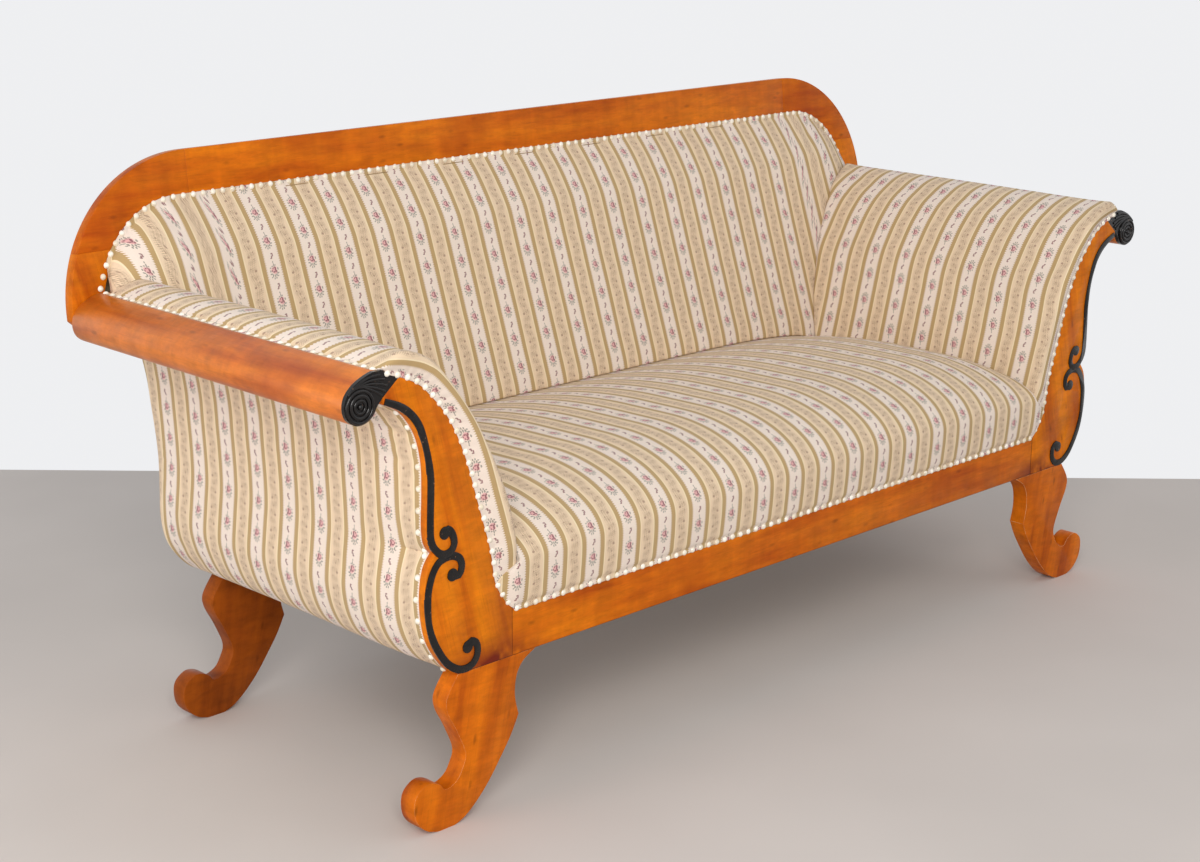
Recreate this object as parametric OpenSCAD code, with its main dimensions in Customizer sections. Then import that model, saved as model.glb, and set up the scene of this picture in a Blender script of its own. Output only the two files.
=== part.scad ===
// Two-armed scroll sofa: veneered S-shaped arms with ebonised inlay and carved
// volutes, a raked arch-topped back, splayed scroll feet and a sprung, nailed-on cover.
// X runs along the sofa, the front faces -Y and Z points up. The origin lies on the
// floor under the middle of the bounding box.

/* [Overall] */
// Length over the two scrolled arm ends
sofa_l = 2146; // [2040:2:2260]
// From the front wood face to the back frame's front face, at the seat rail's underside
seat_frame_d = 691; // [640:1:740]
// Lean of the back frame from upright, in degrees
back_rake = 6.45; // [3:0.05:9]

/* [Seat frame] */
// Height of the rails' underside above the floor
rail_z0 = 261; // [235:1:285]
// Width of the front rail's bare veneer, from its underside to the nail line
rail_face_h = 81; // [70:1:92]
// Thickness of the front rail, the arm panels and the feet
board_t = 34; // [28:1:40]
// Thickness of the side rails under the arms
side_rail_t = 40; // [30:1:46]
// Inner face of a side rail, measured in from the arm's scrolled end
side_rail_in = 273; // [262:1:282]
// Depth of the hidden strip of wood that the cover is nailed on
tack_strip = 9; // [6:0.5:12]
// Front face of the rear rail, ahead of the back frame's front face
rear_rail_d = 49; // [42:1:56]
// Leg of the glue blocks in the seat frame's corners
corner_block_leg = 62; // [45:1:75]

/* [Arms] */
// Spread of an arm from the seat's corner to its scrolled end
arm_spread = 350; // [320:1:375]
// Rise of an arm from the rail's underside to its top nail line
arm_rise = 528; // [490:1:560]
// Depth of the bare edge that a front panel shows on its outer side
panel_edge_d = 14; // [10:0.5:18]
// Thickness of the outer cover where it is nailed on the panel's edge
cover_t = 3; // [2:0.25:4]
// Thickness of the outer cover with its wadding, over the belly
cover_wad_t = 10; // [7:0.5:12]
// Thickness of the carved volute's ground
volute_t = 7; // [5:0.5:9]
// Radius of the rosette at the volute's eye
rosette_r = 28; // [24:0.5:29]
// Radius of the volute's half-round flutes
flute_r = 2.4; // [1.5:0.1:3]
// Width of the ebonised bands
band_w = 13; // [10:0.5:15]
// Depth of the bands let into the panel
band_inset = 1.5; // [1:0.25:3]
// Height of the bands over the panel's face
band_proud = 1.5; // [0.75:0.25:2.5]
// Radius of the balls that end the bands' curls
band_ball_r = 10.5; // [8:0.5:12]

/* [Back frame] */
// Rise of the back frame's top edge over the arms' top nail line
back_rise = 227; // [200:1:250]
// Thickness of the back frame's boards
back_t = 22; // [18:1:28]
// Half of the back frame's width, in from the arm's scrolled end
back_set_in = 4; // [0:1:10]
// Radius of the back frame's upper corners
back_corner_r = 260; // [230:1:280]
// Width of the top rail's bare veneer
top_rail_w = 81; // [70:1:90]
// Width of the bare veneer where the frame's sides come down to the arms
side_stile_w = 46; // [40:1:54]
// Width of the hidden lower rail of the back
lower_rail_w = 60; // [45:1:75]
// Height of the lower rail's underside over the seat rail's underside
lower_rail_rise = 90; // [85:1:110]

/* [Feet] */
// Breadth of a scroll foot, from its top's inner end to the toe
foot_w = 265; // [240:1:285]
// Toe of a foot, in from the arm's scrolled end
foot_toe_in = 121; // [100:1:140]
// Diameter of the dowels that hold the feet
dowel_d = 12; // [8:0.5:14]
// Distance between a foot's two dowels
dowel_pitch = 64; // [50:1:76]
// Length of a dowel, half in the foot and half in the frame
dowel_l = 64; // [50:1:72]

/* [Upholstery] */
// How far the arms' stuffed front edges swell ahead of the wood
edge_swell = 24; // [16:1:30]
// How far the seat's stuffed front edge swells ahead of the wood
seat_swell = 13; // [8:1:20]
// Height of the seat's upright front edge over the nail line
seat_edge_h = 78; // [70:1:90]
// Depth over which the seat's front rolls up to its full height
seat_roll = 200; // [160:1:240]
// Rise of the seat's ends over the front edge
seat_rise = 67; // [55:1:80]
// Crown of the seat's middle over its two ends
seat_crown = 39; // [20:1:50]
// Drop of the seat's top where its ends are drawn down beside the arms
seat_end_drop = 8; // [0:1:14]
// Rise of the sprung canvas over the rails
canvas_rise = 46; // [36:1:56]
// Width of the canvas's slope inside the rails
canvas_run = 60; // [45:1:80]
// Greatest thickness of the back pad, at the seat
back_pad_t = 112; // [95:1:124]
// Width of the back pad's rounded edge
back_pad_roll = 62; // [45:1:80]
// Outward crown of the arm pads between front and back
arm_crown = 5; // [0:0.5:9]
// Thickness of the canvas sheets
canvas_t = 1.5; // [1:0.25:2.5]
// Thickness of the plain cloth over the back frame's rear
rear_cloth_t = 1.5; // [1:0.25:2.5]

/* [Webbing and springs] */
// Width of the webbing straps
strap_w = 52; // [40:1:60]
// Thickness of the webbing straps
strap_t = 2; // [1.5:0.25:3]
// Springs along the seat
spring_cols = 7; // [5:1:8]
// Springs from front to back
spring_rows = 3; // [2:1:3]
// Radius of a spring's end rings
spring_end_r = 42; // [34:1:46]
// Radius of a spring's waist
spring_waist_r = 27; // [22:1:32]
// Thickness of the spring wire
spring_wire = 4; // [3:0.25:5]
// Turns of a spring
spring_turns = 4; // [4:1:6]

/* [Nails] */
// Diameter of the domed nail heads
nail_d = 11; // [8:0.5:13]
// Height of the domed nail heads
nail_h = 4; // [2.5:0.25:5]
// Spacing of the nails along the seat, the arms and the back
nail_pitch = 21; // [15:0.5:26]
// Spacing of the nails along the outer covers' front edges
side_nail_pitch = 34; // [24:1:44]

/* [Hidden] */

// Gap left between soft pieces and their neighbours
clearance = 0.3;
// Radial gap round a dowel, and gap round an inlaid band
dowel_gap = 0.05;
band_gap = 0.1;
// Gap at the seam between an arm pad and the back pad
pad_seam = 1;
// How far a cut runs past the wood
overrun = 5;
// Steps along each span of an outline's curve
span_steps = 3;

half_l = sofa_l / 2;
sofa_h = rail_z0 + arm_rise + back_rise;
arm_x0 = half_l - arm_spread;
rail_top = rail_z0 + rail_face_h + tack_strip;
nail_z = rail_z0 + rail_face_h;
sofa_d = edge_swell + seat_frame_d + (sofa_h - rail_z0) * tan(back_rake) + back_t * cos(back_rake);
face_y = edge_swell - sofa_d / 2;
back_y = face_y + seat_frame_d;
rear_rail_y = back_y - rear_rail_d;
side_rail_x = half_l - side_rail_in;

// Curves

// Point at t between b and c on the smooth curve through a, b, c and d
function curve_point(a, b, c, d, t) =
    (2 * b + (c - a) * t + (2 * a - 5 * b + 4 * c - d) * pow(t, 2)
    + (3 * b - a - 3 * c + d) * pow(t, 3)) / 2;

// Smooth curve through the points p, with n steps from each to the next
function curve(p, n = span_steps) = let (e = len(p) - 1) [
    for (i = [0 : e - 1], k = [0 : n - 1])
        curve_point(p[max(i - 1, 0)], p[i], p[i + 1], p[min(i + 2, e)], k / n),
    p[e]
];

function mix(a, b, t) = a + (b - a) * t;
function part_of(p, first, last) = [for (i = [first : last]) p[i]];
function reversed(p) = [for (i = [len(p) - 1 : -1 : 0]) p[i]];
function unit(v) = v / norm(v);

// Left-hand normal of a curve at its point i
function normal_at(p, i) =
    let (d = unit(p[min(i + 1, len(p) - 1)] - p[max(i - 1, 0)])) [-d[1], d[0]];

// A curve moved sideways by w, to its left where w is positive
function beside(p, w) = [for (i = [0 : len(p) - 1]) p[i] + normal_at(p, i) * w];

// Length along a curve up to each of its points
function run_lengths(p, i = 0, sum = 0, out = []) =
    i == len(p) ? out
    : let (s = i == 0 ? 0 : sum + norm(p[i] - p[i - 1])) run_lengths(p, i + 1, s, concat(out, [s]));

// Points at even spacing near the pitch along a curve, each with the curve's direction
function spaced(p, pitch) =
    let (r = run_lengths(p), total = r[len(r) - 1], n = round(total / pitch)) [
        for (k = [0 : n]) let (
            s = total * k / n,
            i = max([for (j = [0 : len(p) - 2]) if (r[j] <= s) j])
        ) [mix(p[i], p[i + 1], (s - r[i]) / (r[i + 1] - r[i])), unit(p[i + 1] - p[i])]
    ];

// Arm outlines, as shares of the arm's spread and rise

nail_line_shares = [
    [0.763, 0.989], [0.720, 0.981], [0.669, 0.970], [0.597, 0.947], [0.537, 0.915], [0.414, 0.818],
    [0.320, 0.693], [0.240, 0.527], [0.169, 0.371], [0.137, 0.254], [0.069, 0.182]
];
pad_skin_shares = [
    [0.794, 1.009], [0.749, 1.034], [0.671, 1.051], [0.540, 1.013], [0.449, 0.956], [0.300, 0.826],
    [0.206, 0.716], [0.091, 0.551], [0.029, 0.390], [0.017, 0.248], [0.020, 0.180]
];
upper_edge_shares = [
    [0.786, 0.898], [0.674, 0.858], [0.591, 0.782], [0.554, 0.691], [0.551, 0.591],
    [0.557, 0.492], [0.545, 0.436], [0.509, 0.403]
];
lower_edge_shares = [
    [0.509, 0.403], [0.551, 0.364], [0.572, 0.300], [0.572, 0.220], [0.546, 0.134],
    [0.486, 0.062], [0.420, 0.015], [0.350, 0]
];
belly_upper_shares = [
    [0.769, 0.879], [0.680, 0.848], [0.612, 0.790], [0.583, 0.700], [0.574, 0.600],
    [0.566, 0.500], [0.564, 0.440], [0.565, 0.399]
];
belly_lower_shares = [
    [0.565, 0.399], [0.569, 0.362], [0.579, 0.300], [0.590, 0.210], [0.572, 0.125],
    [0.510, 0.056], [0.430, 0.008], [0.350, 0]
];
scroll_shares = [
    [0.840, 1.002], [0.880, 0.994], [0.940, 0.975], [0.986, 0.945], [1.000, 0.909], [0.983, 0.875],
    [0.934, 0.854], [0.880, 0.858], [0.843, 0.875], [0.820, 0.900], [0.791, 0.920]
];
upper_band_shares = [
    [0.783, 0.905], [0.709, 0.886], [0.649, 0.860], [0.600, 0.822], [0.571, 0.778], [0.540, 0.695],
    [0.529, 0.642], [0.531, 0.589], [0.536, 0.489], [0.531, 0.447], [0.506, 0.417], [0.463, 0.398],
    [0.417, 0.403], [0.397, 0.426], [0.409, 0.456], [0.434, 0.473], [0.455, 0.464]
];
lower_band_shares = [
    [0.409, 0.324], [0.371, 0.320], [0.354, 0.345], [0.366, 0.371], [0.406, 0.386], [0.449, 0.386],
    [0.489, 0.377], [0.520, 0.354], [0.540, 0.324], [0.554, 0.288], [0.557, 0.241], [0.554, 0.191], [0.531, 0.140],
    [0.494, 0.091], [0.446, 0.047], [0.380, 0.017], [0.320, 0.013], [0.280, 0.028], [0.263, 0.053],
    [0.269, 0.081], [0.300, 0.095], [0.325, 0.083]
];
upper_ball_shares = [[0.452, 0.464]];
lower_ball_shares = [[0.409, 0.326], [0.322, 0.080]];
rosette_share = [0.918, 0.909];
// Inner corners of the roll rail's hidden body, under the pad
rail_body_shares = [[0.740, 0.893], [0.620, 0.893]];

function arm_point(q) = [arm_x0 + q[0] * arm_spread, rail_z0 + q[1] * arm_rise];
function arm_points(shares) = [for (q = shares) arm_point(q)];

nail_line = curve(arm_points(nail_line_shares));
pad_skin = curve(arm_points(pad_skin_shares));
// Edge of the wood under the pad, a tack strip beyond the nail line
wood_edge = [for (i = [0 : len(nail_line) - 1])
    nail_line[i] + unit(pad_skin[i] - nail_line[i]) * tack_strip];
upper_edge = curve(arm_points(upper_edge_shares));
lower_edge = curve(arm_points(lower_edge_shares));
outer_edge = concat(upper_edge, part_of(lower_edge, 1, len(lower_edge) - 1));
belly = concat(curve(arm_points(belly_upper_shares)),
    part_of(curve(arm_points(belly_lower_shares)), 1, len(lower_edge) - 1));
scroll = curve(arm_points(scroll_shares));
upper_centre = curve(arm_points(upper_band_shares), 2);
lower_centre = curve(arm_points(lower_band_shares), 2);
// Place along the wood's edge where the panel ends and the volute begins
volute_joint = 2 * span_steps;
edge_end = len(wood_edge) - 1;
joint_x = wood_edge[edge_end][0];
seat_half = min([for (p = pad_skin) p[0]]) - clearance;
// Edge of the cover, just past the nails
nail_room = nail_d / 2 + pad_seam;
cover_edge = [for (i = [0 : edge_end])
    nail_line[i] + unit(pad_skin[i] - nail_line[i]) * nail_room];

// Back outlines, in the plane of the back frame

arch_r_shares = [0.71, 0.865];
corner_joint_share = 0.6;
wing_share = 0.92;
pad_top_share = 0.27;
back_half = half_l - back_set_in;
nail_arch_half = back_half - side_stile_w;
back_top_v = (sofa_h - rail_z0) / cos(back_rake);
arch_top_v = back_top_v - top_rail_w;
arch_rx = arch_r_shares[0] * back_corner_r;
arch_rv = arch_r_shares[1] * back_corner_r;
arch_mid_x = nail_arch_half - arch_rx;
arch_mid_v = arch_top_v - arch_rv;
corner_joint_v = back_top_v - corner_joint_share * back_corner_r;
roll_top_v = (scroll[0][1] - rail_z0) / cos(back_rake);
wing_v = wing_share * roll_top_v;
arc_steps = 6 * span_steps;

// A point of an upright outline, laid into the plane of the back frame
function leaned(p) = [p[0], (p[1] - rail_z0) / cos(back_rake)];

// Covered field's upper corner between two angles from the top, drawn in by an inset
function arch_corner(inset, first, last) = [for (k = [0 : arc_steps])
    let (a = mix(first, last, k / arc_steps))
    [arch_mid_x + (arch_rx - inset) * sin(a), arch_mid_v + (arch_rv - inset) * cos(a)]
];
function arch_angle(v, inset = 0) = acos((v - arch_mid_v) / (arch_rv - inset));

// Frame's outer corner between two angles from the top
function frame_corner(first, last) = [for (k = [0 : arc_steps])
    let (a = mix(first, last, k / arc_steps))
    [back_half - back_corner_r + back_corner_r * sin(a),
     back_top_v - back_corner_r + back_corner_r * cos(a)]
];
function frame_angle(v) = acos((v - back_top_v + back_corner_r) / back_corner_r);

// Soft forms

// Depth behind the wood face of the back frame's front face at height z
function back_line(z) = seat_frame_d + (z - rail_z0) * tan(back_rake);

// Height of the seat's top at x and at depth y behind the wood face. It is full where the
// front roll ends and falls again towards the back.
seat_fall_share = 0.4;
function seat_top_z(x, y) =
    let (
        q = abs(x) / seat_half,
        full = seat_rise + seat_crown * (1 - pow(q, 6))
            - seat_end_drop * pow(max(0, q - 0.94) / 0.06, 2),
        roll = min(1, max(0, seat_roll - y) / (seat_roll + seat_swell)),
        fall = min(1, max(0, y / seat_roll - 1.5) / 1.5)
    )
    nail_z + seat_edge_h + full * (sqrt(1 - pow(roll, 2)) - seat_fall_share * pow(fall, 2));

// Thickness of the back pad at x and height z: full at the seat, thin at the top and
// rolled in to nothing at the nails
function back_pad_depth(x, z) =
    let (
        v = (z - rail_z0) / cos(back_rake),
        seat_v = (seat_top_z(0, seat_frame_d) - rail_z0) / cos(back_rake),
        fall = max(0, min(1.1, (arch_top_v - v) / (arch_top_v - seat_v))),
        u = min(1, max(0, abs(x) - arch_mid_x) / (arch_rx - nail_room)),
        w = max(0, v - arch_mid_v) / (arch_rv - nail_room),
        edge = (1 - norm([u, w])) * (mix(arch_rv, arch_rx, u) - nail_room),
        roll = max(0, min(1, edge / back_pad_roll))
    )
    back_pad_t * mix(pad_top_share, 1, fall) * sqrt(1 - pow(1 - roll, 2));

// Depth behind the wood face of the back pad's front
function back_pad_y(x, z) = back_line(z) - back_pad_depth(x, z);

// Boards, sheets and lofts

// Draws a right-hand piece on side 1 and its mirror image on side -1
module on_side(side) {
    mirror([side < 0 ? 1 : 0, 0, 0]) children();
}

// Its children and their mirror image
module mirror_pair() {
    children();
    mirror([1, 0, 0]) children();
}

// Stands a flat outline up as a board from y to y + t
module board(y, t) {
    translate([0, y + t, 0]) rotate([90, 0, 0]) linear_extrude(height = t) children();
}

// Leans its children back with the back frame, whose front face is their plane y = 0
module raked() {
    translate([0, back_y, rail_z0]) rotate([-back_rake, 0, 0]) children();
}

// All space behind the back frame's front face
module behind_back() {
    raked() translate([-sofa_l, 0, -sofa_h]) cube([2 * sofa_l, sofa_d, 3 * sofa_h]);
}

// Closed skin over a row of rings. Each ring runs out along one side and back along the
// other with as many points, so that its end closes as a strip.
module loft(rings) {
    n = len(rings[0]);
    m = len(rings);
    last = (m - 1) * n;
    polyhedron(
        points = [for (r = rings, p = r) p],
        faces = concat(
            [for (j = [0 : m - 2], i = [0 : n - 1])
                [j * n + i, (j + 1) * n + i, j * n + (i + 1) % n]],
            [for (j = [0 : m - 2], i = [0 : n - 1])
                [j * n + (i + 1) % n, (j + 1) * n + i, (j + 1) * n + (i + 1) % n]],
            [for (i = [0 : n / 2 - 2]) [i, i + 1, n - 1 - i]],
            [for (i = [0 : n / 2 - 2]) [i + 1, n - 2 - i, n - 1 - i]],
            [for (i = [0 : n / 2 - 2]) [last + i + 1, last + i, last + n - 1 - i]],
            [for (i = [0 : n / 2 - 2]) [last + n - 2 - i, last + i + 1, last + n - 1 - i]]
        )
    );
}

module frame_wood() { color([0.80, 0.66, 0.46]) children(); }
module veneer() { color([0.80, 0.42, 0.13]) children(); }
module ebony() { color([0.06, 0.05, 0.05]) children(); }
module cover_cloth() { color([0.86, 0.78, 0.63]) children(); }
module canvas() { color([0.74, 0.66, 0.50]) children(); }
module white_enamel() { color([0.95, 0.93, 0.88]) children(); }

// Seat frame

outer_dowel_x = side_rail_x + side_rail_t / 2;
dowel_xs = [outer_dowel_x - dowel_pitch, outer_dowel_x];

// Upright hole for a dowel at x, in boards whose front is at y
module dowel_hole(x, y) {
    translate([x, y + board_t / 2, rail_z0 - dowel_l / 2 - clearance])
        cylinder(d = dowel_d + 2 * dowel_gap, h = dowel_l + 2 * clearance, $fn = 32);
}

module front_seat_rail() {
    veneer() board(face_y, board_t) polygon([
        [-joint_x, rail_z0], [joint_x, rail_z0], wood_edge[edge_end], [seat_half, rail_top],
        [-seat_half, rail_top], [-joint_x, wood_edge[edge_end][1]]
    ]);
}

// Between the side rails, its rear planed to the back frame's lean
module rear_seat_rail() {
    frame_wood() difference() {
        translate([-side_rail_x, rear_rail_y, rail_z0])
            cube([2 * side_rail_x, 2 * rear_rail_d, rail_top - rail_z0]);
        behind_back();
        mirror_pair() dowel_hole(dowel_xs[0], rear_rail_y);
    }
}

// From the front panel's back to the back frame
module side_seat_rail(side) {
    frame_wood() on_side(side) difference() {
        translate([side_rail_x, face_y + board_t, rail_z0])
            cube([side_rail_t, seat_frame_d, rail_top - rail_z0]);
        behind_back();
        dowel_hole(dowel_xs[1], rear_rail_y);
    }
}

// Glue blocks across the frame's inner corners, under the canvas
module corner_blocks() {
    leg = corner_block_leg;
    frame_wood() translate([0, 0, rail_z0])
        linear_extrude(height = rail_face_h) mirror_pair() {
            translate([side_rail_x, face_y + board_t]) polygon([[0, 0], [-leg, 0], [0, leg]]);
            translate([side_rail_x, rear_rail_y]) polygon([[0, 0], [-leg, 0], [0, -leg]]);
        }
}

// Springing

spring_field_x = 2 * (seat_half - canvas_run);
spring_field_y = rear_rail_y - face_y - board_t - 2 * canvas_run;
function spring_x(i) = (i - (spring_cols - 1) / 2) * spring_field_x / spring_cols;
function spring_y(j) = face_y + board_t + canvas_run + (j + 0.5) * spring_field_y / spring_rows;

// Straps under each row of springs. The long ones pass below the short ones, and their
// folded ends meet the side rails.
module seat_webbing() {
    front = face_y + board_t / 2;
    rear = rear_rail_y + rear_rail_d / 2;
    long_half = side_rail_x + side_rail_t / 2;
    canvas() {
        for (i = [0 : spring_cols - 1])
            translate([spring_x(i) - strap_w / 2, front, rail_z0 - strap_t])
                cube([strap_w, rear - front, strap_t]);
        for (j = [0 : spring_rows - 1])
            translate([0, spring_y(j) - strap_w / 2, rail_z0 - strap_t]) {
                translate([-long_half, 0, -strap_t]) cube([2 * long_half, strap_w, strap_t]);
                mirror_pair() translate([side_rail_x, 0, 0])
                    cube([side_rail_t / 2, strap_w, strap_t]);
            }
    }
}

spring_h = canvas_rise + rail_top - rail_z0;
spring_rings_per_turn = 6;
spring_ring_count = spring_turns * spring_rings_per_turn;

// Centre of the wire after a number of turns: drawn in at the waist, with level end rings
function spring_at(turn) =
    let (
        climb = max(0, min(1, (turn - 0.75) / (spring_turns - 1.5))),
        r = mix(spring_waist_r, spring_end_r, abs(2 * climb - 1)),
        z = mix(spring_wire / 2, spring_h - spring_wire / 2, climb)
    )
    [r * cos(360 * turn), r * sin(360 * turn), z];

// Square section of the wire there
function wire_ring(turn) =
    let (out = [cos(360 * turn), sin(360 * turn), 0])
    [for (a = [0 : 90 : 270])
        spring_at(turn) + spring_wire / 2 * (out * cos(a) + [0, 0, 1] * sin(a))];

spring_path = [for (k = [0 : spring_ring_count]) spring_at(k / spring_rings_per_turn)];
echo(least_gap_in_spring = min([
    for (k = [0 : spring_ring_count], j = [0 : spring_ring_count])
        if (j - k >= spring_rings_per_turn - 1) norm(spring_path[j] - spring_path[k]) - spring_wire
]));

module seat_springs() {
    color([0.45, 0.42, 0.38])
        for (i = [0 : spring_cols - 1], j = [0 : spring_rows - 1])
            translate([spring_x(i), spring_y(j), rail_z0])
                loft([for (k = [0 : spring_ring_count]) wire_ring(k / spring_rings_per_turn)]);
}

// Side view of the space under the canvas, from one tacked edge to the other: flat over
// the rails, then sloping up and level over the springs. The sheet adds t on top.
function canvas_profile(first, last, margin, t) = [
    [first, rail_top - overrun], [first, rail_top + t], [first + margin, rail_top + t],
    [first + margin + canvas_run, rail_top + canvas_rise + t],
    [last - margin - canvas_run, rail_top + canvas_rise + t],
    [last - margin, rail_top + t], [last, rail_top + t], [last, rail_top - overrun]
];

module sprung_space(t) {
    half_x = side_rail_x + side_rail_t / 2;
    first_y = face_y + board_t / 2;
    last_y = rear_rail_y + rear_rail_d / 2;
    intersection() {
        translate([0, last_y, 0]) rotate([90, 0, 0]) linear_extrude(last_y - first_y)
            polygon(canvas_profile(-half_x, half_x, half_x - seat_half, t));
        translate([-half_x, 0, 0]) rotate([90, 0, 90]) linear_extrude(2 * half_x)
            polygon(canvas_profile(first_y, last_y, board_t / 2, t));
    }
}

// Sheet tacked down on the rails all round and lifted by the springs
module seat_canvas() {
    canvas() difference() {
        sprung_space(canvas_t);
        sprung_space(0);
    }
}

seat_x_shares = [0, 0.17, 0.34, 0.5, 0.65, 0.8, 0.9, 0.95, 0.98, 1];

// Stuffed seat with its cover: a rolled front edge, a crowned top and drawn-down ends.
// Each ring runs from the nails up over the front and back, and home along the rails.
module seat_pad() {
    low_z = nail_z + nail_room;
    front_h = seat_edge_h - nail_room;
    front_y = face_y - seat_swell;
    top_end = back_line(nail_z + seat_edge_h) - clearance;
    under_z = rail_top + clearance;
    under_end = back_line(under_z) - clearance;
    shares = concat([for (q = reversed(seat_x_shares)) -q], part_of(seat_x_shares, 1, 9));
    cover_cloth() difference() {
        loft([for (x = seat_half * shares) concat(
            [for (a = [0 : 30 : 90])
                [x, face_y - seat_swell * sin(a), low_z + front_h * (1 - cos(a))]],
            [for (a = [15 : 15 : 90])
                [x, front_y + (seat_swell + seat_roll) * (1 - cos(a)),
                 mix(low_z + front_h, seat_top_z(x, seat_roll), sin(a))]],
            [for (k = [1 : 7]) let (y = mix(seat_roll, top_end, k / 7))
                [x, face_y + y, seat_top_z(x, y)]],
            [for (k = [16 : -1 : 0]) [x, face_y + under_end * k / 16, under_z]]
        )]);
        sprung_space(canvas_t + clearance);
    }
}

// Arms

// Outline of an arm's front board with the given outer edge
module panel_outline(edge) {
    polygon(concat(
        part_of(wood_edge, volute_joint, edge_end),
        [[joint_x, rail_z0]],
        reversed(edge),
        [scroll[len(scroll) - 1]]
    ));
}

// Front board of an arm. Its outer edge is bare in front and stepped in behind for the
// cover, and the two bands are let into its face.
module arm_panel(side) {
    veneer() on_side(side) difference() {
        union() {
            board(face_y, panel_edge_d) panel_outline(outer_edge);
            board(face_y + panel_edge_d, board_t - panel_edge_d)
                panel_outline(beside(outer_edge, -cover_t));
        }
        band_recess(upper_centre, upper_ball_shares);
        band_recess(lower_centre, lower_ball_shares);
        for (x = dowel_xs) dowel_hole(x, face_y);
    }
}

// Veneered rail that caps an arm, from the volute's back to the back frame
module arm_roll_rail(side) {
    head = concat(part_of(wood_edge, 0, volute_joint), reversed(scroll));
    body = concat(part_of(wood_edge, 0, volute_joint + span_steps),
        reversed(arm_points(rail_body_shares)), reversed(scroll));
    veneer() on_side(side) difference() {
        union() {
            board(face_y + volute_t, board_t - volute_t) polygon(head);
            board(face_y + board_t, seat_frame_d + edge_swell) polygon(body);
        }
        behind_back();
    }
}

// Carved end of an arm: a ringed rosette at the eye, with flutes that leave its rim
// tangentially and fan out to the nail line
flute_angles = [44, 58, 73, 89, 108];
flute_end_shares = [[0.806, 0.990], [0.782, 0.974], [0.768, 0.954], [0.778, 0.938], [0.796, 0.928]];
rosette_ring_shares = [[0.88, 0.10], [0.62, 0.12], [0.36, 0.10], [0, 0.17]];

module carved_volute(side) {
    eye = arm_point(rosette_share);
    head = concat(part_of(wood_edge, 0, volute_joint), reversed(scroll));
    ebony() on_side(side) {
        board(face_y, volute_t) polygon(head);
        translate([eye[0], face_y, eye[1]]) rotate([90, 0, 0]) rosette();
        for (k = [0 : len(flute_angles) - 1])
            flute(eye, flute_angles[k], arm_point(flute_end_shares[k]));
    }
}

// Disc with raised rings and a central boss, its foot sunk into the ground
module rosette() {
    foot = volute_t / 5;
    rotate_extrude() intersection() {
        union() {
            translate([0, -foot]) square([rosette_r, 2 * foot]);
            for (q = rosette_ring_shares) translate([q[0] * rosette_r, foot])
                circle(r = q[1] * rosette_r, $fn = 32);
        }
        translate([0, -foot]) square([rosette_r, rosette_r]);
    }
}

// Half-round rib on the one circle that leaves the rosette's rim along its tangent, at
// an angle, and passes through a point by the nail line
module flute(eye, angle, end) {
    out = [cos(angle), sin(angle)];
    start = eye + (rosette_r + flute_r / 2) * out;
    d = end - start;
    r = -(d * d) / (2 * out * d);
    centre = start - r * out;
    last = atan2(end[1] - centre[1], end[0] - centre[0]);
    translate([centre[0], face_y, centre[1]]) rotate([90, 0, 0]) rotate([0, 0, angle])
        rotate_extrude(angle = last - angle, $fn = 96) translate([r, 0]) circle(r = flute_r, $fn = 32);
}

// Flat band of width w along a centre line
module band(centre, w) {
    polygon(concat(beside(centre, w / 2), reversed(beside(centre, -w / 2))));
}

module band_ball(share, grow = 0) {
    translate(arm_point(share)) circle(r = band_ball_r + grow, $fn = 32);
}

// Recess for a band and the balls that end it
module band_recess(centre, balls) {
    board(face_y - overrun, overrun + band_inset) band(centre, band_w + 2 * band_gap);
    for (share = balls)
        board(face_y - overrun, overrun + band_inset) band_ball(share, band_gap);
}

// An ebonised band with its balls, kept within the panel's outline
module inlay(side, centre, balls) {
    y = face_y - band_proud;
    t = band_proud + band_inset;
    ebony() on_side(side) difference() {
        intersection() {
            union() {
                board(y, t) band(centre, band_w);
                for (share = balls) board(y, t) band_ball(share);
            }
            board(y, t) panel_outline(outer_edge);
        }
        children();
    }
}

// The lower band butts against the upper one at the cusp
module lower_inlay(side) {
    inlay(side, lower_centre, lower_ball_shares)
        board(face_y - overrun, 2 * overrun) band(upper_centre, band_w + 2 * band_gap);
}

// Canvas under an arm's stuffing, stretched from the panel to where the back pad begins
module arm_canvas(side) {
    top = part_of(wood_edge, volute_joint + span_steps, edge_end);
    canvas() on_side(side) difference() {
        board(face_y + board_t, seat_frame_d + edge_swell)
            polygon(concat(top, reversed(beside(top, canvas_t))));
        translate([0, -back_pad_t - pad_seam, 0]) behind_back();
    }
}

// Stuffed inner face of an arm with its cover. Each ring runs from the nails round the
// swollen front edge and back to the seam with the back pad.
module arm_pad(side) {
    cover_cloth() on_side(side) loft([for (i = [0 : edge_end])
        let (
            start = cover_edge[i],
            skin = pad_skin[i],
            out = unit(skin - start),
            under = wood_edge[i],
            skin_end = back_pad_y(skin[0], skin[1]) - pad_seam,
            under_end = back_pad_y(under[0], under[1]) - pad_seam,
            swell = min(edge_swell, 1.2 * norm(skin - start)),
            crown = arm_crown * max(0, 1 - 1.25 * i / edge_end),
            at = function (p, y) [p[0], face_y + y, p[1]]
        )
        concat(
            [for (a = [0 : 30 : 180]) at(mix(start, skin, (1 - cos(a)) / 2), -swell * sin(a))],
            [for (t = [0.3, 0.65]) at(skin + out * crown * sin(180 * t), skin_end * t)],
            [at(skin, skin_end)],
            [for (k = [9 : -1 : 0]) at(under, under_end * k / 9)]
        )
    ]);
}

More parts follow.
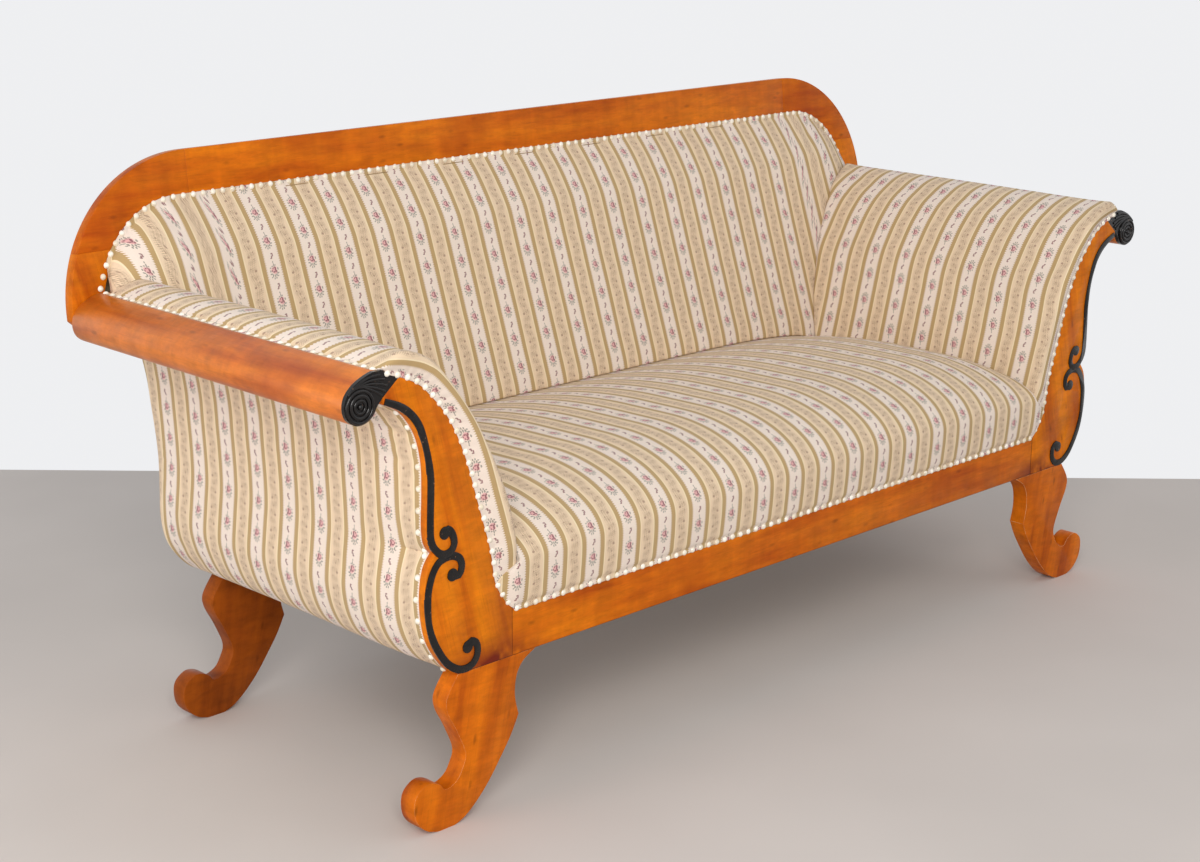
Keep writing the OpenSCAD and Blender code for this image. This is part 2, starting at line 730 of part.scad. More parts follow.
// Outer cover over its wadding: nailed on the panel's edge, it follows the panel's cusp
// in front and fills out to a smooth belly behind
side_fill_shares = [[0.13, 0.65], [0.27, 0.95], [0.55, 1]];
side_cover_stations = concat(
    [[panel_edge_d, 0], [board_t, 0]],
    [for (q = side_fill_shares) [q[0] * seat_frame_d, q[1]]],
    [[seat_frame_d + 3 * edge_swell, 1]]
);

module side_cover(side) {
    cover_cloth() on_side(side) difference() {
        loft([for (s = side_cover_stations)
            let (
                outer = [for (i = [0 : len(outer_edge) - 1]) mix(outer_edge[i], belly[i], s[1])],
                inner = beside(outer, -mix(cover_t, cover_wad_t, s[1]))
            )
            [for (p = concat(outer, reversed(inner))) [p[0], face_y + s[0], p[1]]]
        ]);
        behind_back();
    }
}

// Back

module back_board() {
    raked() board(0, back_t) children();
}

module back_top_rail() {
    end_x = back_half - back_corner_r;
    low = arch_top_v - tack_strip;
    veneer() back_board()
        polygon([[-end_x, low], [end_x, low], [end_x, back_top_v], [-end_x, back_top_v]]);
}

// Curved corner between the top rail and a stile
module back_corner(side) {
    v = corner_joint_v;
    veneer() on_side(side) back_board() polygon(concat(
        frame_corner(0, frame_angle(v)),
        reversed(arch_corner(tack_strip, 0, arch_angle(v, tack_strip))),
        [[back_half - back_corner_r, arch_top_v - tack_strip]]
    ));
}

// Side of the back frame: bare above the arm, and below it sawn to the arm's own outline
// to carry the roll rail, the arm's canvas and the covers
module back_stile(side) {
    v = corner_joint_v;
    outer = [for (p = beside(belly, -cover_t)) leaned(p)];
    inner = [for (p = part_of(nail_line, volute_joint + span_steps, edge_end)) leaned(p)];
    veneer() on_side(side) back_board() polygon(concat(
        frame_corner(frame_angle(v), min(90, frame_angle(wing_v))),
        [[back_half, wing_v], leaned(scroll[7 * span_steps])],
        part_of(outer, 0, len(outer) - 2),
        [[outer[len(outer) - 1][0], 0], [inner[len(inner) - 1][0], 0]],
        reversed(inner),
        reversed(arch_corner(tack_strip, arch_angle(v, tack_strip), arch_angle(wing_v, tack_strip)))
    ));
}

// Width between the stiles' inner edges at height v, halved
function stile_gap_half(v) =
    let (p = [for (q = nail_line) leaned(q)], e = len(p) - 1)
    v <= p[e][1] ? p[e][0]
    : [for (i = [0 : e - 1]) if (p[i][1] >= v && p[i + 1][1] < v)
        mix(p[i], p[i + 1], (p[i][1] - v) / (p[i][1] - p[i + 1][1]))[0]][0];

// Hidden rail between the stiles that the back's webbing and cover are nailed on
module back_lower_rail() {
    edge = [for (k = [0 : 4])
        let (v = lower_rail_rise + lower_rail_w * k / 4) [stile_gap_half(v), v]];
    frame_wood() back_board()
        polygon(concat(edge, [for (p = reversed(edge)) [-p[0], p[1]]]));
}

// Upright straps on the frame's front, from the lower rail to the top rail
module back_webbing() {
    low = lower_rail_rise + lower_rail_w - tack_strip;
    canvas() raked() for (i = [0 : spring_cols - 1])
        translate([spring_x(i) - strap_w / 2, -strap_t, low])
            cube([strap_w, strap_t, arch_top_v - nail_room - clearance - low]);
}

// Stuffed back with its cover. Each ring runs up the front to the nails on the frame and
// down again along the webbing.
back_row_shares = [0, 0.16, 0.34, 0.52, 0.68, 0.8, 0.89, 0.95, 0.985, 1];

// Height at which the pad starts at x: on the seat, or on the arm's wood edge
function back_pad_low_z(x) =
    let (
        q = abs(x),
        on_arm = [for (i = [0 : edge_end - 1])
            let (p = wood_edge[i], r = wood_edge[i + 1])
            if (p[0] >= q && r[0] < q) mix(p, r, (p[0] - q) / (p[0] - r[0]))[1]]
    )
    pad_seam + max(concat(on_arm, [seat_top_z(min(q, seat_half), seat_frame_d)]));

// Height at which it ends at x, just short of the nails on the frame
function back_pad_high_z(x) =
    let (u = max(0, abs(x) - arch_mid_x) / (arch_rx - nail_room))
    rail_z0 + (arch_mid_v + (arch_rv - nail_room) * sqrt(1 - pow(u, 2))) * cos(back_rake);

module back_pad() {
    bends = len(nail_line_shares) - 1;
    half_xs = concat(seat_half * part_of(seat_x_shares, 0, 7),
        [for (k = [bends : -1 : 1]) wood_edge[k * span_steps][0]], [wood_edge[0][0] - clearance]);
    xs = concat([for (x = reversed(half_xs)) -x], part_of(half_xs, 1, len(half_xs) - 1));
    behind = (strap_t + clearance) / cos(back_rake);
    cover_cloth() loft([for (x = xs)
        let (
            low = back_pad_low_z(x),
            high = back_pad_high_z(x),
            lip = min(tack_strip, (high - low) / 2)
        )
        concat(
            [for (r = back_row_shares) let (z = mix(low, high, r)) [x, face_y + back_pad_y(x, z), z]],
            [for (r = reversed(back_row_shares)) let (z = mix(low, high - lip, r))
                [x, face_y + back_line(z) - behind, z]]
        )
    ]);
}

// Plain cloth over the frame's rear, tacked a little inside its outline
module back_cloth() {
    outer = [for (p = beside(belly, -2 * cover_wad_t)) leaned(p)];
    half = concat(
        arch_corner(-3 * tack_strip, 0, arch_angle(wing_v, -3 * tack_strip)),
        part_of(outer, span_steps, len(outer) - 2)
    );
    canvas() raked() board(back_t, rear_cloth_t)
        polygon(concat(half, [for (p = reversed(half)) [-p[0], p[1]]]));
}

// Feet

foot_x0 = half_l - foot_toe_in - foot_w;
foot_toe_shares = [
    [0.638, 1], [0.728, 0.868], [0.725, 0.769], [0.657, 0.635], [0.585, 0.459], [0.611, 0.363],
    [0.660, 0.295], [0.747, 0.264], [0.790, 0.308], [0.850, 0.338], [0.915, 0.337], [0.981, 0.287],
    [1.000, 0.214], [0.985, 0.126], [0.936, 0.061], [0.875, 0.020], [0.766, -0.006],
    [0.664, 0.004], [0.551, 0.061], [0.411, 0.191], [0.279, 0.363], [0.204, 0.474], [0.143, 0.592]
];
foot_knee_shares = [[0.143, 0.592], [0.172, 0.720], [0.160, 0.850], [0.105, 0.940], [0, 1]];
function foot_points(shares) = [for (q = shares) [foot_x0 + q[0] * foot_w, q[1] * rail_z0]];

// Sawn scroll foot, flat where it stands
module scroll_foot(side, y) {
    outline = concat(curve(foot_points(foot_toe_shares)),
        part_of(curve(foot_points(foot_knee_shares)), 1, 4 * span_steps));
    veneer() on_side(side) difference() {
        board(y, board_t) intersection() {
            polygon(outline);
            square([sofa_l, rail_z0]);
        }
        for (x = dowel_xs) dowel_hole(x, y);
    }
}

module foot_dowels() {
    frame_wood() mirror_pair() for (x = dowel_xs, y = [face_y, rear_rail_y])
        translate([x, y + board_t / 2, rail_z0 - dowel_l / 2])
            cylinder(d = dowel_d, h = dowel_l, $fn = 32);
}

// Nails

// Domed head with its flat on the plane z = 0
module nail_head() {
    r = (pow(nail_d / 2, 2) + pow(nail_h, 2)) / (2 * nail_h);
    intersection() {
        translate([0, 0, nail_h - r]) sphere(r = r, $fn = 32);
        translate([-nail_d, -nail_d, 0]) cube([2 * nail_d, 2 * nail_d, 2 * nail_h]);
    }
}

// A head on an upright face at y, looking forward
module front_nail(p, y) {
    translate([p[0], y, p[1]]) rotate([90, 0, 0]) nail_head();
}

module nails_seat() {
    white_enamel() for (q = spaced([[-seat_half, nail_z], [seat_half, nail_z]], nail_pitch))
        front_nail(q[0], face_y);
}

module nails_arm(side) {
    white_enamel() on_side(side) for (q = spaced(nail_line, nail_pitch)) front_nail(q[0], face_y);
}

// Along the top of a roll rail
module nails_rail(side) {
    p = mix(wood_edge[0], scroll[0], 0.5);
    d = scroll[0] - wood_edge[0];
    ends = [[volute_t + nail_room, 0], [back_line(p[1]) - nail_d, 0]];
    white_enamel() on_side(side) for (q = spaced(ends, nail_pitch))
        translate([p[0], face_y + q[0][0], p[1]]) rotate([0, atan2(-d[1], d[0]), 0]) nail_head();
}

// Round the covered field of the back, from one roll rail to the other
module nails_back() {
    half = arch_corner(0, 0, arch_angle(roll_top_v + nail_room));
    path = concat([for (p = reversed(half)) [-p[0], p[1]]], half);
    white_enamel() raked() for (q = spaced(path, nail_pitch)) front_nail(q[0], 0);
}

// Down the front edge of an outer cover, above and below the panel's cusp
module nails_side(side) {
    above = part_of(upper_edge, 1, len(upper_edge) - 2);
    below = part_of(lower_edge, 1, len(lower_edge) - 1 - span_steps);
    white_enamel() on_side(side) for (path = [above, below], q = spaced(path, side_nail_pitch))
        translate([q[0][0], face_y + panel_edge_d + nail_room, q[0][1]])
            rotate([0, atan2(-q[1][1], q[1][0]), 0]) translate([0, 0, clearance]) nail_head();
}

front_seat_rail();
rear_seat_rail();
side_seat_rail(-1);  // side_seat_rail_left
side_seat_rail(1);  // side_seat_rail_right
corner_blocks();
seat_webbing();
seat_springs();
seat_canvas();
seat_pad();
arm_panel(-1);  // arm_panel_left
arm_panel(1);  // arm_panel_right
arm_roll_rail(-1);  // arm_roll_rail_left
arm_roll_rail(1);  // arm_roll_rail_right
carved_volute(-1);  // carved_volute_left
carved_volute(1);  // carved_volute_right
inlay(-1, upper_centre, upper_ball_shares);  // upper_inlay_left
inlay(1, upper_centre, upper_ball_shares);  // upper_inlay_right
lower_inlay(-1);  // lower_inlay_left
lower_inlay(1);  // lower_inlay_right
arm_canvas(-1);  // arm_canvas_left
arm_canvas(1);  // arm_canvas_right
arm_pad(-1);  // arm_pad_left
arm_pad(1);  // arm_pad_right
side_cover(-1);  // side_cover_left
side_cover(1);  // side_cover_right
back_top_rail();
back_corner(-1);  // back_corner_left
back_corner(1);  // back_corner_right
back_stile(-1);  // back_stile_left
back_stile(1);  // back_stile_right
back_lower_rail();
back_webbing();
back_pad();
back_cloth();
scroll_foot(-1, face_y);  // foot_front_left
scroll_foot(1, face_y);  // foot_front_right
scroll_foot(-1, rear_rail_y);  // foot_rear_left
scroll_foot(1, rear_rail_y);  // foot_rear_right
foot_dowels();
nails_seat();
nails_arm(-1);  // nails_arm_left
nails_arm(1);  // nails_arm_right
nails_rail(-1);  // nails_rail_left
nails_rail(1);  // nails_rail_right
nails_back();
nails_side(-1);  // nails_side_left
nails_side(1);  // nails_side_right
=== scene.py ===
# %% [markdown]
# # A scroll-arm sofa in a striped cover
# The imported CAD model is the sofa's frame: every board, rail, nail and pad already stands in its place,
# in metres, with the front facing -Y and the floor at Z = 0. This lesson dresses that frame. Hard pieces
# get eased edges and polished veneer, and the pads are stuffed again as soft, simulated upholstery.

# %% Load the frame
from functools import partial
from math import copysign, cos, hypot, pi, radians, sin, sqrt, tan

import bpy
import bmesh
from mathutils import Matrix, Vector
from mathutils.kdtree import KDTree


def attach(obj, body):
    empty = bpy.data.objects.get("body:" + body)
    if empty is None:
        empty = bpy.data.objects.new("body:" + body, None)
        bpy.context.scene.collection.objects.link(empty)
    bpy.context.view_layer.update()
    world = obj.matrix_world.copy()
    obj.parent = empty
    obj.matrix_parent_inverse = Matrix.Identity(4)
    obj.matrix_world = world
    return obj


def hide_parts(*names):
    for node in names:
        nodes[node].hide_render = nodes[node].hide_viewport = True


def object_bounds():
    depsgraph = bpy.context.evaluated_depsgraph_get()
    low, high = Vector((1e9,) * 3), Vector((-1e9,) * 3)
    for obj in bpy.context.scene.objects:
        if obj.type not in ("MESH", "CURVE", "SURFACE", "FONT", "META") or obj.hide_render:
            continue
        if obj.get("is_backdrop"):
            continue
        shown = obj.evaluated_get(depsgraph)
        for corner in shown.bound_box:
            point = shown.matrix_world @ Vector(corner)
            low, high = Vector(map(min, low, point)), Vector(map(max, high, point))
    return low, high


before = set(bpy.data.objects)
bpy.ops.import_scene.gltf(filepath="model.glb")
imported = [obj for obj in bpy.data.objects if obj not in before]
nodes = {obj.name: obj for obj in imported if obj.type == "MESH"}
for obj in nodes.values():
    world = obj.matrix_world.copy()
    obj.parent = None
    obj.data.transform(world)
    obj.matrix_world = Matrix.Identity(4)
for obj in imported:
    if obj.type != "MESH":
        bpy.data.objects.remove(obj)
scene = bpy.context.scene
cad_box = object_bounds()
mm = 0.001
print("sofa is", [round(b - a, 3) for a, b in zip(*cad_box)], "m over", len(nodes), "nodes")

# %% [markdown]
# ## The camera
# The view was worked out from straight edges of the real sofa: the camera stands off its front left
# corner, half a metre above the back, and looks down by about sixteen degrees.

# %% Place the camera
def put_in_scene(name, data):
    made = bpy.data.objects.new(name, data)
    scene.collection.objects.link(made)
    return made


CAMERA_PLACE = Vector((-2.98868, -2.84536, 1.59151))
AZIMUTH, ELEVATION, ROLL = (radians(a) for a in (-44.897, 15.860, 0.445))
LENS_PX, IMAGE_W, SENSOR_MM = 2172.31, 1200, 36

camera_data = bpy.data.cameras.new("camera")
camera_data.sensor_width = SENSOR_MM
camera_data.lens = SENSOR_MM * LENS_PX / IMAGE_W
camera = put_in_scene("camera", camera_data)
bearing, tilt = Matrix.Rotation(AZIMUTH, 4, "Z"), Matrix.Rotation(radians(90) - ELEVATION, 4, "X")
camera.matrix_world = Matrix.Translation(CAMERA_PLACE) @ bearing @ tilt @ Matrix.Rotation(ROLL, 4, "Z")
scene.camera = camera
scene.view_settings.view_transform = "Standard"
print("lens", round(camera_data.lens, 1), "mm")

# %% [markdown]
# ## Node helpers
# A material is a small network. The helpers keep it readable: one adds a node and feeds its inputs in
# order, another turns a colour as read on a screen into the linear value Blender uses, and the rest
# name the kinds of node that come back in every finish. A socket knows its tree, so only the first
# nodes of a tree have to be told.

# %% Helpers for materials
def tone(*parts):
    """A screen colour, each part from 0 to 255, as a linear colour with alpha"""
    shares = [part / 255 for part in parts]
    return *(c / 12.92 if c <= 0.04045 else ((c + 0.055) / 1.055) ** 2.4 for c in shares), 1.0


def feed(socket, value):
    """Wire another socket into this one, or set its value"""
    if isinstance(value, bpy.types.NodeSocket):
        socket.id_data.links.new(value, socket)
    else:
        socket.default_value = value


def add(tree, kind, inputs=(), out=0, **settings):
    """Add a node; inputs are sockets to wire or values to set, None leaves one alone"""
    made = tree.nodes.new("ShaderNode" + kind)
    for key, value in settings.items():
        setattr(made, key, value)
    for socket, value in zip(made.inputs, inputs):
        if value is not None:
            feed(socket, value)
    return made.outputs[out]


def tree_of(*values):
    """The node tree that the first socket among the values belongs to"""
    return next(v for v in values if isinstance(v, bpy.types.NodeSocket)).id_data


def calc(operation, *inputs):
    return add(tree_of(*inputs), "Math", inputs, operation=operation)


times, plus, minus, over = (partial(calc, name) for name in ("MULTIPLY", "ADD", "SUBTRACT", "DIVIDE"))
# A line takes a value, its slope and its start
line, unsigned = (partial(calc, name) for name in ("MULTIPLY_ADD", "ABSOLUTE"))


def vector(operation, *inputs, out=0):
    return add(tree_of(*inputs), "VectorMath", inputs, out, operation=operation)


def noise(place, *settings, out=0):
    """Noise at the place; settings are scale, detail, roughness, lacunarity and distortion"""
    return add(place.id_data, "TexNoise", (place, None, *settings), out)


def stretched(place, scale, turn=None):
    """The place with its axes scaled, then turned"""
    return add(place.id_data, "Mapping", (place, None, turn, scale))


def split(place):
    return add(place.id_data, "SeparateXYZ", (place,)).node.outputs


def blend(share, a, b, mode="MIX"):
    made = tree_of(share, a, b).nodes.new("ShaderNodeMix")
    made.data_type, made.blend_type = "RGBA", mode
    for i, value in ((0, share), (6, a), (7, b)):
        feed(made.inputs[i], value)
    return made.outputs[2]


def ramp(value, *stops):
    """A colour ramp; each stop is a place with a grey or a screen colour"""
    made = add(value.id_data, "ValToRGB", (value,)).node
    while len(made.color_ramp.elements) < len(stops):
        made.color_ramp.elements.new(0.5)
    for element, (place, colour) in zip(made.color_ramp.elements, stops):
        element.position = place
        element.color = tone(*colour) if isinstance(colour, tuple) else (colour, colour, colour, 1)
    return made.outputs[0]


def set_inputs(node, **inputs):
    """Feed a node's inputs by name, with _ for each space"""
    for name, value in inputs.items():
        feed(node.inputs[name.replace("_", " ")], value)


def bump(height, distance, **below):
    """A bump of this height; Normal may name one that lies below it"""
    made = height.id_data.nodes.new("ShaderNodeBump")
    set_inputs(made, Strength=1.0, Distance=distance, Height=height, **below)
    return made.outputs[0]


def new_material(name):
    """A material with its tree and its Principled shader"""
    material = bpy.data.materials.new(name)
    material.use_nodes = True
    material.diffuse_color = (0.7, 0.6, 0.5, 1)
    tree = material.node_tree
    return material, tree, tree.nodes["Principled BSDF"]


def mottled(name, pattern, stretch=(1, 1, 1), relief=0.0, **inputs):
    """A plain finish led by one noise; an input is a value, or the stops of a ramp over the noise"""
    material, tree, shader = new_material(name)
    patches = noise(stretched(add(tree, "TexCoord", out=3), stretch), *pattern)
    for key, value in inputs.items():
        set_inputs(shader, **{key: ramp(patches, *value) if isinstance(value, tuple) else value})
    if relief:
        set_inputs(shader, Normal=bump(patches, relief))
    return material


print("white paper is", [round(c, 2) for c in tone(235, 235, 232)[:3]])

# %% [markdown]
# ## The studio
# The sofa stands on a plain pale floor that ends square to the camera a little way behind it. The world
# lights it evenly, one large lamp to the camera's left gives the soft modelling, and two weaker ones
# open up the shadows in front and beside the near arm. The pale background is seen by the camera, in
# reflections and through clear things only, by way of Light Path, so it never floods the sofa.

# %% Floor, world and lamps
FLOOR_HALF, BEHIND = 7.0, 1.08
bpy.ops.object.select_all(action="DESELECT")
floor_middle = Vector((-sin(AZIMUTH), cos(AZIMUTH), 0)) * (BEHIND - FLOOR_HALF)
bpy.ops.mesh.primitive_plane_add(size=2 * FLOOR_HALF, location=floor_middle, rotation=(0, 0, AZIMUTH))
floor = bpy.context.object
bpy.ops.object.transform_apply(location=True, rotation=True, scale=True)
floor.name = "floor"
pale = mottled("pale_floor", (1.3, 3), Base_Color=((0.3, (204, 196, 190)), (0.7, (212, 204, 198))),
               Roughness=0.9, Specular_IOR_Level=0.2)
floor.data.materials.append(pale)
floor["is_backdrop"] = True

world = bpy.data.worlds.new("studio")
scene.world = world
world.use_nodes = True
sky = world.node_tree
sky.nodes.clear()
path = sky.nodes.new("ShaderNodeLightPath")
seen = calc("MAXIMUM", path.outputs["Is Camera Ray"], path.outputs["Is Glossy Ray"])
seen = calc("MAXIMUM", seen, path.outputs["Is Transmission Ray"])
soft_light = add(sky, "Background", ((0.93, 0.96, 1.0, 1), 0.62))
backdrop = add(sky, "Background", ((0.86, 0.865, 0.88, 1), 1.0))
both = add(sky, "MixShader", (seen, soft_light, backdrop))
sky.links.new(both, sky.nodes.new("ShaderNodeOutputWorld").inputs[0])


def lamp(name, place, aim, size, watts, colour):
    light = bpy.data.lights.new(name, "AREA")
    light.shape, light.size, light.energy, light.color = "SQUARE", size, watts, colour
    holder = put_in_scene(name, light)
    holder.location = place
    holder.rotation_euler = (Vector(aim) - Vector(place)).to_track_quat("-Z", "Y").to_euler()


lamp("key_lamp", place=(-3.4, -3.2, 2.6), aim=(0, 0, 0.5), size=2.2, watts=135, colour=(1, 0.97, 0.93))
lamp("fill_lamp", place=(2.6, -4.2, 2.2), aim=(0.2, 0, 0.4), size=2.6, watts=13, colour=(1, 0.96, 0.9))
lamp("side_lamp", place=(-4.2, 0.2, 0.9), aim=(-1, 0, 0.5), size=1.6, watts=26, colour=(0.97, 0.98, 1))

# %% [markdown]
# ## Veneer
# The show wood is a honey-coloured fruitwood veneer under old shellac. Its look is built in layers: long
# soft grain, a flame figure lying across it, short slanting strokes, fine pores and dark flecks, and
# last the stains of a varnish that has gone uneven. All are read from Object coordinates, so one recipe
# serves every board and only the grain's direction, the colours and the gloss change. Boards that meet
# over the front feet also get the old dirt of their joints.

# %% Veneer finish
GRAIN_TURN = {"x": (0, 0, 0), "y": (0, 0, radians(-90)), "z": (0, radians(90), 0)}
rail_points = [v.co for v in nodes["front_seat_rail"].data.vertices]
JOINT_X = max(p.x for p in rail_points)
RAIL_LOW, RAIL_HIGH = (end(p.z for p in rail_points) for end in (min, max))
CRACK, FOOT_LINE = 1.3 * mm, 2.2 * mm
# Polish that has run together: its height, how far outside the joint its middle is, and its half width
RUN_H, RUN_OUT, RUN_HALF = 46 * mm, 40 * mm, 120 * mm


def near(distance, reach):
    """1 at no distance, falling to 0 at the reach"""
    share = line(unsigned(distance), -1 / reach, 1.0)
    share.node.use_clamp = True
    return share


def old_joints(place, body):
    """Dirt in the joint of rail and panel, and dark polish that has run together above the feet"""
    signed_x, _, z = split(place)
    x = unsigned(signed_x)
    above_foot = minus(z, RAIL_LOW)
    crack = near(minus(x, JOINT_X), CRACK)
    crack = times(crack, calc("LESS_THAN", z, RAIL_HIGH))
    dirt = calc("MAXIMUM", crack, near(above_foot, FOOT_LINE))
    patchy = ramp(noise(place, 14, 3, 0.6), (0.40, 0), (0.54, 1))
    run = times(patchy, near(above_foot, RUN_H))
    run = times(run, near(minus(x, JOINT_X + RUN_OUT), RUN_HALF))
    body = blend(times(run, 1.3), body, tone(112, 36, 18))
    return blend(times(dirt, 0.85), body, tone(62, 24, 10))


def veneer(name, grain, light=(222, 120, 10), deep=(160, 60, 3), slant=0.0, gloss=0.1, joints=False):
    """Veneer with its grain along an axis, turned by slant; light and deep are screen colours"""
    material, tree, shader = new_material(name)
    place = add(tree, "TexCoord", out=3)
    turned = add(tree, "Mapping", (place, None, Vector(GRAIN_TURN[grain]) + Vector((0, slant, 0))))
    waves = noise(stretched(turned, (1.1, 9, 9)), 2.6, 4, 0.55, 2.0, 0.6)
    flame = noise(stretched(turned, (24, 5, 5)), 1.0, 3, 0.6, 2.0, 1.2)
    strokes = noise(stretched(place, (26, 40, 90), (0, 0.85, 0)), 1.0, 4, 0.65, 2.0, 0.9)
    pores = noise(stretched(turned, (22, 420, 420)), 1.0, 2, 0.5)
    flecks = add(tree, "TexVoronoi", (stretched(turned, (14, 34, 34)), None, 1.0))
    between = tuple((a + 2 * b) / 3 for a, b in zip(deep, light))
    body = ramp(waves, (0.24, deep), (0.45, between), (0.66, light))
    for figure, share, *stops in (
            (flame, 0.75, (0.36, 0.84), (0.64, 1.08)), (strokes, 0.8, (0.34, 0.82), (0.60, 1.05)),
            (pores, 0.55, (0.30, 0.80), (0.44, 1.0)), (flecks, 0.6, (0.05, 0.38), (0.16, 1.0))):
        body = blend(share, body, ramp(figure, *stops), "MULTIPLY")
    stains = ramp(noise(place, 4.2, 3, 0.6), (0.56, 0), (0.72, 0.5))
    body = blend(stains, body, tone(*deep))
    if joints:
        body = old_joints(place, body)
    worn = ramp(noise(place, 17, 4, 0.7), (0.35, 0.34), (0.7, 0.52))
    relief = bump(pores, 0.12 * mm, Normal=bump(waves, 0.6 * mm))
    set_inputs(shader, Base_Color=body, Roughness=worn, Normal=relief, Specular_IOR_Level=gloss,
               Coat_Weight=gloss / 3, Coat_Roughness=0.25)
    return material


rail_veneer = veneer("rail_veneer", "x", joints=True)
upright_veneer = veneer("upright_veneer", "z", (226, 126, 12), (166, 68, 4), slant=0.25, joints=True)
arm_veneer = veneer("arm_veneer", "y", (222, 124, 30), (160, 68, 12), gloss=0.5)
foot_veneer = veneer("foot_veneer", "z", (222, 116, 10), (150, 58, 4), slant=-0.2)
# The rear feet's veneer is darker: partly painted shade for the shadow under the sofa, partly an older,
# darker polish
shaded_rear_foot_veneer = veneer("shaded_rear_foot_veneer", "z", (160, 78, 10), (104, 42, 4), slant=-0.2)
# Corners where the varnish has rubbed through to pale wood
rubbed = mottled("rubbed_edge", (30, 4, 0.65), Base_Color=((0.44, (184, 96, 32)), (0.58, (226, 178, 128))),
                 Roughness=((0.4, 0.35), (0.6, 0.6)))
print("veneers:", [m.name for m in (rail_veneer, upright_veneer, arm_veneer, foot_veneer, shaded_rear_foot_veneer)])

# %% [markdown]
# ## Black, white and hidden finishes
# The carved volutes and the bands are pear wood stained black and polished. The nail heads are white
# enamel. Under the covers are plain deal, linen canvas, jute webbing and iron springs, which show only
# from below and behind.

# %% Black polish, enamel, deal, canvas, webbing and wire
def black_polish():
    """Polished black with a few chips down to the pear wood"""
    material, tree, shader = new_material("black_polish")
    place = add(tree, "TexCoord", out=3)
    handled = noise(place, 60, 4, 0.7)
    body = ramp(handled, (0.35, (7, 6, 7)), (0.75, (22, 18, 17)))
    chips = ramp(noise(place, 190, 2, 0.5), (0.70, 0), (0.74, 0.8))
    grain = noise(stretched(place, (300, 300, 40)), 1.0, 2)
    set_inputs(shader, Base_Color=blend(chips, body, tone(146, 104, 76)), Normal=bump(grain, 0.08 * mm),
               Roughness=ramp(handled, (0.35, 0.16), (0.7, 0.36)), Specular_IOR_Level=0.3,
               Coat_Weight=0.2, Coat_Roughness=0.12)
    return material


def white_enamel():
    """White that yellows from head to head"""
    material, tree, shader = new_material("white_enamel")
    place = add(tree, "TexCoord", out=3)
    yellowed = ramp(noise(place, 45, 1), (0.35, (226, 214, 190)), (0.6, (248, 243, 230)))
    grime = bump(noise(place, 700, 3), 0.1 * mm)
    set_inputs(shader, Base_Color=yellowed, Normal=grime, Roughness=0.24, Coat_Weight=0.3)
    return material


def woven(name, dark, light, pitch, relief):
    """Plain weave: two sets of threads, each pitch apart, with slubs"""
    material, tree, shader = new_material(name)
    place = add(tree, "TexCoord", out=3)
    # A wave texture of scale 1 repeats every 0.314 m
    bands = (place, 0.314 / pitch, 0.8, 1)
    warp, weft = (add(tree, "TexWave", bands, 1, wave_type="BANDS", bands_direction=axis) for axis in "XZ")
    threads = calc("MAXIMUM", warp, weft)
    lit = times(threads, noise(place, 60, 4, 0.7))
    set_inputs(shader, Base_Color=ramp(lit, (0.15, dark), (0.6, light)), Normal=bump(threads, relief),
               Roughness=0.95, Sheen_Weight=0.2)
    return material


ebony, enamel = black_polish(), white_enamel()
deal = mottled("sawn_deal", (2, 4, 0.6, 2.0, 0.4), (2, 60, 60), 0.8 * mm,
               Base_Color=((0.3, (150, 112, 70)), (0.7, (204, 168, 118))), Roughness=0.8)
linen = woven("linen_canvas", (120, 100, 70), (186, 164, 124), 1.2 * mm, 0.4 * mm)
jute = woven("jute_webbing", (110, 84, 48), (176, 142, 92), 2.8 * mm, 0.8 * mm)
iron = mottled("spring_iron", (90, 4, 0.7), Base_Color=((0.45, (112, 104, 96)), (0.62, (110, 70, 44))),
               Metallic=((0.45, 0.9), (0.6, 0.2)), Roughness=((0.4, 0.4), (0.65, 0.8)))
print("plain finishes:", [m.name for m in (ebony, enamel, deal, linen, jute, iron)])

# %% [markdown]
# ## Eased edges on the show wood
# Each visible board starts as a copy of its CAD solid. The copy is merged, and the short straight steps
# of its sawn outlines are rounded into curves. A subdivision surface would fill the hollow of a
# C-shaped face, so the new points are put on the outline itself. A narrow bevel then eases the corners.
# On the front feet and the roll rails it has a material of its own, so that they look rubbed through.

# %% Copy a board and ease it
def only(piece):
    """Make this the one selected and active object"""
    bpy.ops.object.select_all(action="DESELECT")
    piece.select_set(True)
    bpy.context.view_layer.objects.active = piece


def add_piece(name, mesh):
    piece = put_in_scene(name, mesh)
    only(piece)
    return piece


def apply_modifier(piece, kind, **settings):
    only(piece)
    made = piece.modifiers.new(kind.lower(), kind)
    for key, value in settings.items():
        setattr(made, key, value)
    bpy.ops.object.modifier_apply(modifier=made.name)


